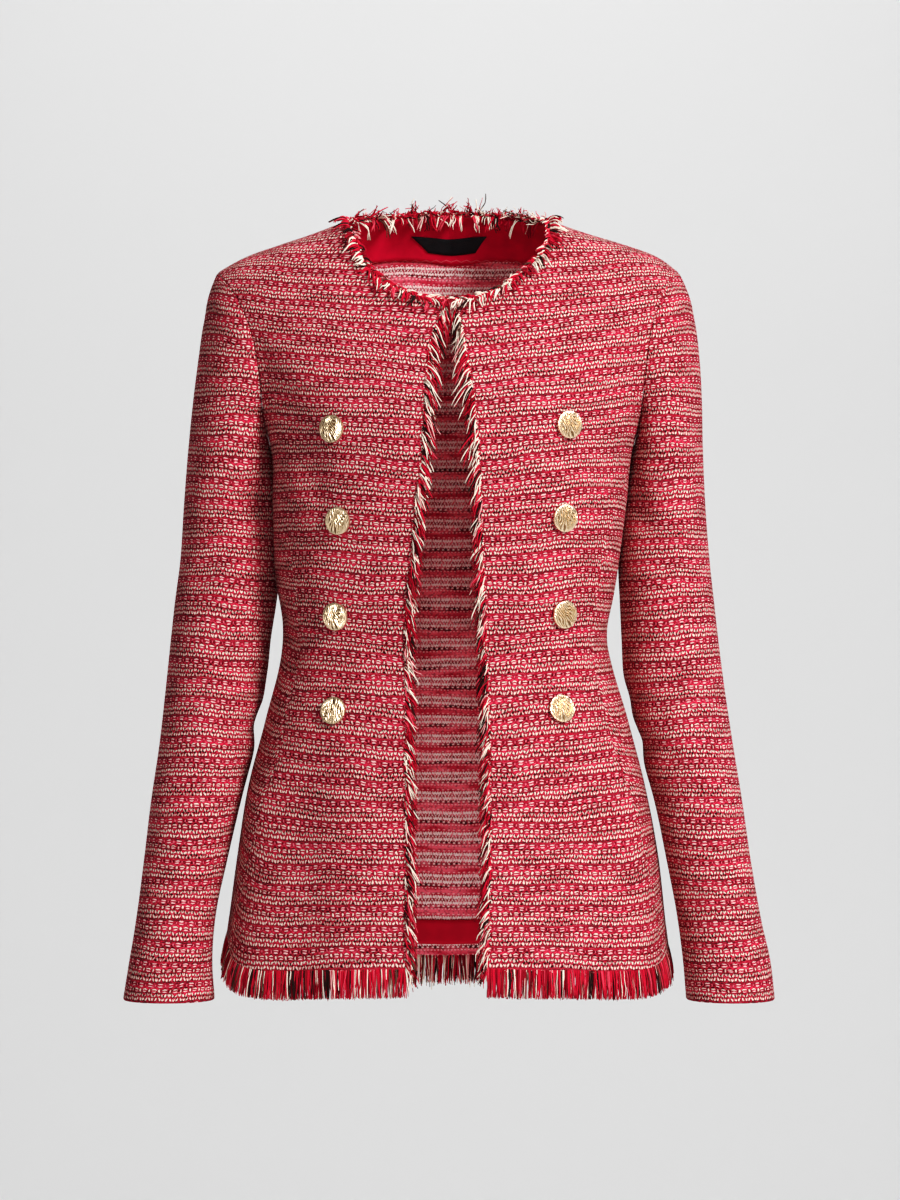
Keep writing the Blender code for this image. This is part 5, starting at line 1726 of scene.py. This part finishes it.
def edge_layer(edge, layer, foot, chance):
    """One flat layer of yarns, each with its own reach into the opening."""
    count = int(travelled(edge.points)[-1] / layer.spacing)
    roots, off, past, _, _ = walk(edge, count, chance)
    length = trimmed(EDGE_LENGTH * chance.normal(0.95, EDGE_UNEVEN, count), roots, foot)
    reach = column(edge_reach(roots, length) * chance.uniform(0.35, 1.0, count))
    roots = roots + off * (layer.depth * WALL * 0.7) - past * EDGE_TUCK
    leave = unit(past * reach * 1.5 + DOWN * 0.5 + off * column(chance.uniform(0.0, 0.3, count)))
    fall = unit(past * reach * 0.75 + DOWN + off * column(chance.normal(0.0, 0.08, count)))
    thick = chance.uniform(*EDGE_THICK, count) * MM
    paths = yarn_paths(roots, leave, fall, length, chance, wave=0.0008, turn=0.30)
    return paths, thick, pick(count, chance, layer.mix)


def edge_tufts(edge, foot, chance):
    """Tufts of two yarns that stand off the layers, longer on the chest."""
    tufts = int(travelled(edge.points)[-1] / EDGE_TUFT_STEP)
    seats, off, past, along, _ = walk(edge, tufts, chance)
    seats = seats + off * WALL * 0.5 - past * column(chance.uniform(-0.4, 1.6, tufts)) * MM
    roots, owner = tufted(seats, along, 2, 1.7 * MM, chance)
    off, past = off[owner], past[owner]
    own = chance.uniform(0.60, 1.30, tufts)[owner] * chance.normal(1.0, 0.12, len(roots))
    length = trimmed(EDGE_LENGTH * own * (1 + LONGER_ABOVE * (roots[:, 2] > UNDERARM)), roots, foot)
    share = chance.uniform(0.15, 1.0, tufts)[owner] + chance.normal(0, 0.15, len(roots))
    reach = column(edge_reach(roots, length) * np.clip(share, 0.1, 1.0))
    lift = column(chance.uniform(0.15, 0.75, tufts)[owner])
    leave = unit(past * reach * 1.3 + DOWN * 0.45 + off * lift)
    fall = unit(past * reach * 0.8 + DOWN - off * lift * 0.25)
    shade = tuft_shades(owner, WHOLE_TUFTS, "tuft", chance)
    thick = chance.uniform(*EDGE_TUFT_THICK, len(roots)) * MM
    return yarn_paths(roots, leave, fall, length, chance, wave=0.0012, turn=0.36), thick, shade


def front_yarns(edge, seed):
    """Flat layers of yarns under tufts, with a cord along the edge."""
    chance = np.random.default_rng(seed)
    foot = edge.points[:, 2].min() - EDGE_FOOT
    groups = [edge_layer(edge, layer, foot, chance) for layer in EDGE_LAYERS]
    groups.append(edge_tufts(edge, foot, chance))
    return groups + [cord(edge, chance, 0.9 * MM, 0.1 * MM, 0.75 * MM, "base")]


for side, edge in front_edges.items():
    finish_fringe(f"edge_fringe_{side}", front_yarns(edge, EDGE_SEED + SIDES[side]))

# %% Keeping yarns off the cloth
LIFT_WITHIN, SEARCH_WITHIN = 0.010, 0.012
CLEARANCE = 0.3 * MM


def cloth_tree():
    """The outer cloth, for keeping yarns off it."""
    corners, faces, start = [], [], 0
    for name in ("front_right", "front_left", "back"):
        mesh = pieces[name].data
        corners += [v.co.copy() for v in mesh.vertices]
        faces += [[i + start for i in p.vertices] for p in mesh.polygons if p.material_index != REVERSE]
        start = len(corners)
    return BVHTree.FromPolygons(corners, faces)


CLOTH = cloth_tree()


def keep_off(paths, thick):
    """Lifts yarns that would sink into the cloth's right side."""
    for yarn, path in enumerate(paths):
        for ring in range(1, len(path)):
            place, normal, _, gap = CLOTH.find_nearest(Vector(path[ring]), SEARCH_WITHIN)
            if place is None:
                continue
            height = (Vector(path[ring]) - place).dot(normal)
            wanted = thick[yarn] + CLEARANCE
            if height < wanted and gap < LIFT_WITHIN:
                path[ring] += np.array(normal) * (wanted - height)
    return paths


print("yarns keep", CLEARANCE / MM, "mm off the cloth")

# %% Neck fringe: a whipped roll and unruly yarns
NECK_TUFT_STEP = 4.0 * MM
BACK_OF_NECK = 0.012
OVER_LENGTH, IN_LENGTH = (0.0110, 0.0200), (0.0060, 0.0110)
NECK_THICK = (0.58, 0.88)
STRAY_SEATS, STRAY_THICK = 210, (0.32, 0.72)
INWARD_SEATS, INWARD_LENGTH, INWARD_THICK = 230, (0.010, 0.023), (0.45, 0.80)
NECK_SEED = 5


def neck_roll(edge, chance):
    """Tufts that curl out over the cloth and in over the opening by turns, round a cord."""
    groups = [cord(edge, chance, 1.4 * MM, 0.6 * MM, 0.85 * MM, "base")]
    tufts = int(travelled(edge.points)[-1] / NECK_TUFT_STEP)
    for over in (1, -1):
        seats, off, past, along, _ = walk(edge, tufts, chance, jitter=0.25)
        roots, owner = tufted(seats + past * 0.3 * MM, along, 3, 1.1 * MM, chance)
        off, past, along = off[owner], past[owner], along[owner]
        # Along the edge the tufts lean towards the front centre, as they were whipped on
        downhill = along * -np.sign(along[:, 2:])
        lean = column(chance.normal(0.9, 0.45, tufts)[owner])

        def drift(size):
            own = chance.normal(0, size, tufts)[owner]
            return column(own + chance.normal(0, size * 0.4, len(owner)))

        if over > 0:
            back = column(chance.uniform(0.0, 0.6, tufts)[owner])
            leave = unit(off * 0.9 - past * back + downhill * 0.3 * lean)
            fall = unit(off * 0.15 - past + downhill * 0.40 * lean + along * drift(0.50) + DOWN * 0.45)
            length = chance.uniform(*OVER_LENGTH, tufts)[owner]
        else:
            leave = unit(past * 0.8 + off * 0.5 + downhill * 0.5 * lean)
            fall = unit(past * 0.55 - off * 0.1 + downhill * lean + along * drift(0.4) + DOWN * 0.6)
            length = chance.uniform(*IN_LENGTH, tufts)[owner]
        length = length * chance.normal(1.0, 0.14, len(roots))
        thick = chance.uniform(*NECK_THICK, len(roots)) * MM
        shade = tuft_shades(owner, 0.6, "base", chance)
        paths = yarn_paths(roots, leave, fall, length, chance, wave=0.0009, turn=0.45)
        groups.append((keep_off(paths, thick), thick, shade))
    return groups


def standing_ends(edge, chance):
    """Fine ends that stand up at the back."""
    seats, off, past, along, _ = walk(edge, STRAY_SEATS, chance)
    behind = seats[:, 1] > chance.uniform(-0.03, 0.04, len(seats))
    seats, off, past, along = (part[behind] for part in (seats, off, past, along))
    roots, owner = tufted(seats, along, 4, 0.8 * MM, chance)
    off, past, along, count = off[owner], past[owner], along[owner], len(roots)

    def drift(size, own):
        return column(chance.normal(0, size, len(seats))[owner] + chance.normal(0, own, count))

    leave = unit(past + off * (0.1 + drift(0.45, 0.2)) + along * drift(0.5, 0.2))
    fall = unit(past * 0.75 + off * (0.1 + drift(0.6, 0.4)) + along * drift(0.7, 0.4))
    length = (0.0060 + 0.0150 * chance.uniform(0, 1, len(seats)) ** 2.0)[owner]
    length = length * chance.normal(1.0, 0.15, count)
    thick = chance.uniform(*STRAY_THICK, count) * MM
    paths = yarn_paths(roots, leave, fall, length, chance, wave=0.0016)
    return paths, thick, pick(count, chance, "ragged")


def inward_ends(edge, chance):
    """Long ends that hang in over the facing, most of them at the middle of the back."""
    seats, off, past, along, _ = walk(edge, INWARD_SEATS, chance)
    middle_of_back = np.exp(-((seats[:, 0] / 0.05) ** 2))
    chosen = chance.uniform(0, 1, len(seats)) < 0.22 + 0.7 * middle_of_back
    inward = (seats[:, 1] > BACK_OF_NECK) & chosen
    seats, off, past, along = (part[inward] for part in (seats, off, past, along))
    roots, owner = tufted(seats, along, 3, 1.2 * MM, chance)
    off, past, along = off[owner], past[owner], along[owner]
    aside = column(chance.normal(0, 0.22, len(seats))[owner])
    leave = unit(past * 1.0 - off * 0.8 + along * aside)
    fall = unit(DOWN - off * 0.28 + along * aside * 1.3)
    length = chance.uniform(*INWARD_LENGTH, len(seats))[owner] * chance.normal(1.0, 0.08, len(roots))
    thick = chance.uniform(*INWARD_THICK, len(roots)) * MM
    shade = tuft_shades(owner, 0.7, "base", chance)
    return yarn_paths(roots, leave, fall, length, chance, wave=0.0012, turn=0.36), thick, shade


neck_chance = np.random.default_rng(NECK_SEED)
neck_groups = neck_roll(neck, neck_chance)
neck_groups += [standing_ends(neck, neck_chance), inward_ends(neck, neck_chance)]
finish_fringe("neck_fringe", neck_groups)

# %% [markdown]
# ## Facings and label
#
# Inside the back neck lies a facing of plain red cloth, stitched down with a zigzag, and on it a small black
# satin tab, left bare. Inside the back hem lies a red band.

# %% Plain cloths
FACING_WALL, LABEL_WALL = 1.0 * MM, 1.0 * MM
LAID_GAP, LABEL_GAP = 0.4 * MM, 0.3 * MM
RIM_ROLL = 0.25
WOVEN, SATIN = 0.5 * MM, 0.35 * MM
STITCH_SWING, STITCH_HEIGHT, STITCH_BEAT = 9.0 * MM, 2.2 * MM, 1.1 * MM
STITCH_ABOVE_FOOT = 4.0 * MM
FACING_RED, FACING_SHADE = (0.78, 0.0012, 0.050), (0.66, 0.0010, 0.042)
BAND_RED, BAND_SHADE = (0.54, 0.0010, 0.030), (0.47, 0.0008, 0.026)
LABEL_BLACK, LABEL_SHADE = (0.012, 0.013, 0.016), (0.020, 0.021, 0.024)
STITCH_PINK = (0.86, 0.22, 0.28)


def between(grid, row, column):
    """Values of a grid at places between its points."""
    r = np.clip(np.floor(row).astype(int), 0, grid.shape[0] - 2)
    c = np.clip(np.floor(column).astype(int), 0, grid.shape[1] - 2)
    v, u = (row - r)[..., None], (column - c)[..., None]
    foot = grid[r, c] * (1 - u) + grid[r, c + 1] * u
    head = grid[r + 1, c] * (1 - u) + grid[r + 1, c + 1] * u
    return foot * (1 - v) + head * v


def cloth_finish(name, colour, shade, roughness, weave, stitch_up=None):
    """Plain woven cloth, with a zigzag of stitches at a height up the knit where one is wanted."""
    finish = Finish(name, Roughness=roughness, Specular_IOR_Level=0.2)
    _, along, up = finish.cloth()
    over = ((along / weave).part() - 0.5) * ((up / weave).part() - 0.5)
    cloudy = finish.noise(60.0, 3.0)
    made = finish.mix(cloudy.ramp(0.3, 0.7), colour, shade)
    if stitch_up is not None:
        swing = abs((along / STITCH_SWING).part() - 0.5) * 2 * STITCH_HEIGHT
        thread = abs(up - swing - stitch_up).ramp(0.65 * MM, 0.35 * MM)
        beat = abs((along / STITCH_BEAT).part() - 0.5).ramp(0.36, 0.28)
        made = finish.mix(thread * beat * 0.8, made, STITCH_PINK)
    return finish.show(made, None, abs(over) * 3.0 + cloudy * 0.6, 0.0002)


back_up = PANELS["back"].knit[:, len(COLUMNS) - 1, 1]
facing_first = int(np.searchsorted(ROWS, ROWS[-1] - 2))
facing_rows = np.concatenate([[facing_first - 1.4], np.arange(facing_first, len(ROWS) - 1)])
facing_foot = np.interp(facing_rows[0], np.arange(len(ROWS)), back_up)
stitch_up = facing_foot + STITCH_ABOVE_FOOT
NECK_CLOTH = cloth_finish("neck_facing_cloth", FACING_RED, FACING_SHADE, 0.8, WOVEN, stitch_up)
BAND_CLOTH = cloth_finish("hem_band_cloth", BAND_RED, BAND_SHADE, 0.8, WOVEN)
BLACK_SATIN = cloth_finish("black_satin", LABEL_BLACK, LABEL_SHADE, 0.45, SATIN)
print(f"the facing starts {facing_foot:.3f} m up the knit")

# %% Cloths laid inside the back
BAND_UP = (0.011, 0.032)
LABEL_UP = (0.0110, 0.0283)
LABEL_HALF = (0.021, 0.034)


def laid(name, rows, columns, gap, thickness, material):
    """A thin cloth with rolled rims, made from the back's own inner points moved in."""
    panel = PANELS["back"]
    row, column = np.broadcast_arrays(np.array(rows, float)[:, None], np.array(columns, float))
    inner = between(panel.points - panel.through, row, column)
    inward = -unit(between(panel.through, row, column))
    rim = np.zeros(row.shape)
    rim[[0, -1]] = 1
    rim[:, [0, -1]] = 1
    near = inner + inward * (gap + RIM_ROLL * thickness * rim)[..., None]
    far = inner + inward * (gap + thickness * (1 - RIM_ROLL * rim))[..., None]
    knit = np.stack([along_the_rows(near), between(panel.knit[..., 1:], row, column)[..., 0]], axis=-1)
    made = wall(name, far, near, knit, [material])
    if volume(made) < 0:
        made.data.flip_normals()
    return made


middle = len(COLUMNS) - 1
facing_columns = np.arange(middle - NECK_COLUMN - COLUMN_PARTS, middle + NECK_COLUMN + COLUMN_PARTS + 1)
facing = laid("neck_facing_cloth", facing_rows, facing_columns, LAID_GAP, FACING_WALL, NECK_CLOTH)

band_rows = np.interp(back_up[0] + np.linspace(*BAND_UP, 7), back_up, np.arange(len(ROWS)))
band_columns = np.arange(2, 2 * middle - 1)
band = laid("hem_facing_cloth", band_rows, band_columns, LAID_GAP, FACING_WALL, BAND_CLOTH)

label_rows = np.interp(facing_foot + np.linspace(*LABEL_UP, 6), back_up, np.arange(len(ROWS)))
half_row = PANELS["back"].points[facing_first, middle:, 0]
reaches = np.abs(half_row - half_row[0])
ends = np.interp(np.linspace(*LABEL_HALF, 6), reaches, np.arange(len(reaches)))
label_columns = middle + np.array([np.linspace(-end, end, 25) for end in ends])
label_place = LAID_GAP + FACING_WALL + LABEL_GAP
label = laid("label_cloth", label_rows, label_columns, label_place, LABEL_WALL, BLACK_SATIN)

LAID = [(facing, "neck_facing", "facing"), (band, "hem_facing", "facing"), (label, "label", "label")]
for piece, node, slot in LAID:
    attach(piece, "root")
    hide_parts(node)
    pieces[node] = piece
    print(node, len(piece.data.polygons), "faces")

# %% [markdown]
# ## Buttons
#
# The buttons are cast domes with a bark-like face. One is modelled: a disc is raised into a shallow dome,
# its ridges are pushed up point by point along wandering lines, and its back gets a shank. The others are
# copies, each turned a little.

# %% One button
BUTTON_RADIUS = 0.0115
BUTTON_DOME = 1.3 * MM
BUTTON_THICK = 1.9 * MM
SHANK_RADIUS, SHANK_LENGTH = 3.0 * MM, 1.4 * MM
BARK_DEPTH = 0.50 * MM
BARK_STEP = 1.9
DOME_POWER, RIM_POWER = 2.4, 8
BEVEL_WIDTH, BEVEL_PARTS = 0.4 * MM, 2
BEVEL_FROM, SMOOTH_BELOW = math.radians(60), math.radians(50)
GOLD_LIGHT, GOLD_DEEP, GOLD_GROOVE = (1.0, 0.80, 0.56), (0.92, 0.70, 0.45), (0.26, 0.130, 0.060)
BUTTON_CORNERS, BUTTON_INSETS = 132, 36


def bark(x, y):
    """Height of the ridges at a place on the face, from -1 to 1, for places in millimetres."""
    wide = noise.noise(Vector((x * 0.13, y * 0.09, 4.1)))
    fine = noise.noise(Vector((x * 0.42, y * 0.20, 9.0)))
    bend = wide * 4.2 + fine
    ridge = math.sin((x + y * 0.28 + bend) * math.tau / BARK_STEP)
    broken = noise.noise(Vector((x * 0.40, y * 0.22, 2.0)))
    return max(-1.0, min(1.0, ridge * (1.0 + 0.6 * broken) * 1.3 + 0.35 * broken))


def gold_finish():
    finish = Finish("gold", Metallic=1.0)
    groove = finish.node("ShaderNodeAttribute", output=2, attribute_name="groove")
    patina = finish.noise(900.0, 3.0)
    colour = finish.mix(patina.ramp(0.35, 0.70), GOLD_LIGHT, GOLD_DEEP)
    colour = finish.mix(groove.ramp(0.15, 0.75) * 0.90, colour, GOLD_GROOVE)
    return finish.show(colour, patina.ramp(0.2, 0.8, 0.28, 0.46))


GOLD = gold_finish()


def select_facing(made, up):
    """Selects the faces of an object in edit mode that face up, or down."""
    bpy.ops.mesh.select_mode(type="FACE")
    bpy.ops.mesh.select_all(action="DESELECT")
    bm = bmesh.from_edit_mesh(made.data)
    for face in bm.faces:
        face.select = face.normal.z * up > 0.5
    bmesh.update_edit_mesh(made.data)


def model_button():
    bpy.ops.object.select_all(action="DESELECT")
    bpy.ops.mesh.primitive_cylinder_add(
        vertices=BUTTON_CORNERS, radius=BUTTON_RADIUS, depth=BUTTON_THICK, end_fill_type="NGON"
    )
    made = bpy.context.object
    made.name = "button_model"
    bpy.ops.object.mode_set(mode="EDIT")
    select_facing(made, 1)
    for _ in range(BUTTON_INSETS):
        bpy.ops.mesh.inset(thickness=BUTTON_RADIUS / (BUTTON_INSETS + 1), depth=0)
    select_facing(made, -1)
    bpy.ops.mesh.inset(thickness=BUTTON_RADIUS - SHANK_RADIUS, depth=0)
    bpy.ops.mesh.extrude_region_move(TRANSFORM_OT_translate={"value": (0, 0, -SHANK_LENGTH)})
    bpy.ops.object.mode_set(mode="OBJECT")
    depths = []
    for corner in made.data.vertices:
        place = corner.co
        reach = min(place.xy.length / BUTTON_RADIUS, 1.0)
        height = bark(place.x / MM, place.y / MM) * (1 - reach**RIM_POWER)
        depths.append(max(0.0, -height) if place.z > 0 else 0.0)
        if place.z > 0:
            corner.co.z += BUTTON_DOME * (1 - reach**DOME_POWER) + height * BARK_DEPTH
    made.data.attributes.new("groove", "FLOAT", "POINT").data.foreach_set("value", depths)
    bevel = made.modifiers.new("edge", "BEVEL")
    bevel.width, bevel.segments, bevel.limit_method = BEVEL_WIDTH, BEVEL_PARTS, "ANGLE"
    bevel.angle_limit = BEVEL_FROM
    bpy.ops.object.modifier_apply(modifier="edge")
    bpy.ops.object.shade_smooth_by_angle(angle=SMOOTH_BELOW)
    made.data.materials.append(GOLD)
    return made


button_model = model_button()
print("button:", len(button_model.data.polygons), "faces")

# %% Eight buttons where the plain ones are
RIM_BEYOND = 0.0095
TURNS = [8, -14, 22, -5, 12, -20, 3, 170]


def button_seat(node):
    """The middle of a plain button's front and the way it faces."""
    mesh = NODES[node].data
    corners = np.array([v.co for v in mesh.vertices])
    centre = (corners.min(axis=0) + corners.max(axis=0)) / 2
    _, axes = np.linalg.eigh(np.cov((corners - corners.mean(axis=0)).T))
    facing_way = axes[:, 0]
    facing_way = facing_way * (-1 if facing_way[1] > 0 else 1)
    height = (corners - centre) @ facing_way
    reach = np.linalg.norm(corners - centre - height[:, None] * facing_way, axis=1)
    rim = corners[reach > RIM_BEYOND]
    middle_of_rim = (rim.min(axis=0) + rim.max(axis=0)) / 2
    return Vector(middle_of_rim), Vector(facing_way)


buttons = [name for name in sorted(NODES) if name.startswith("button_")]
for node, degrees in zip(buttons, TURNS):
    place, facing_way = button_seat(node)
    copy = button_model.copy()
    copy.data = button_model.data.copy()
    copy.name = node + "_cast"
    bpy.context.collection.objects.link(copy)
    upright = facing_way.to_track_quat("Z", "Y").to_matrix().to_4x4()
    copy.data.transform(Matrix.Translation(place) @ upright @ Matrix.Rotation(math.radians(degrees), 4, "Z"))
    pieces[node] = copy
    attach(copy, "root")
    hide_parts(node)
bpy.data.objects.remove(button_model, do_unlink=True)
print(len(buttons), "buttons")

# %% Backdrop finish


def backdrop_finish():
    finish = Finish("backdrop", Roughness=1.0)
    grain = finish.noise(2.0, 1.0)
    return finish.show(finish.mix(grain, (0.80, 0.80, 0.80), (0.81, 0.81, 0.81)))


sweep.data.materials.append(backdrop_finish())
print("backdrop:", sweep.data.materials[0].name)

# %% [markdown]
# ## What each piece of cloth was cut to
#
# The knit is not stretched, so a panel's cut is its own run of the knit: the widest row and the longest
# column, and the area of its outer side.

# %% Sheets


def cut_of(name):
    """Width, length and area of a panel laid flat."""
    panel = PANELS[name]
    knit = panel.knit
    width = float((knit[..., 0].max(axis=1) - knit[..., 0].min(axis=1)).max())
    length = float(knit[..., 1].max() - knit[..., 1].min())
    points = panel.points
    if name.startswith("sleeve"):
        points = np.concatenate([points, points[:, :1]], axis=1)
    across, up = points[:-1, 1:] - points[:-1, :-1], points[1:, :-1] - points[:-1, :-1]
    area = float(np.linalg.norm(np.cross(across, up), axis=-1).sum())
    return round(width, 3), round(length, 3), round(min(area, width * length), 4)


CARRIED = {
    "front_right": ["edge_fringe_right", "hem_fringe_right"],
    "front_left": ["edge_fringe_left", "hem_fringe_left"],
    "back": ["neck_fringe", "hem_fringe_back"],
    "sleeve_right": [],
    "sleeve_left": [],
}
for name, carried in CARRIED.items():
    width, length, area = cut_of(name)
    print(name, "cut", width, "by", length, "m,", area, "m2")
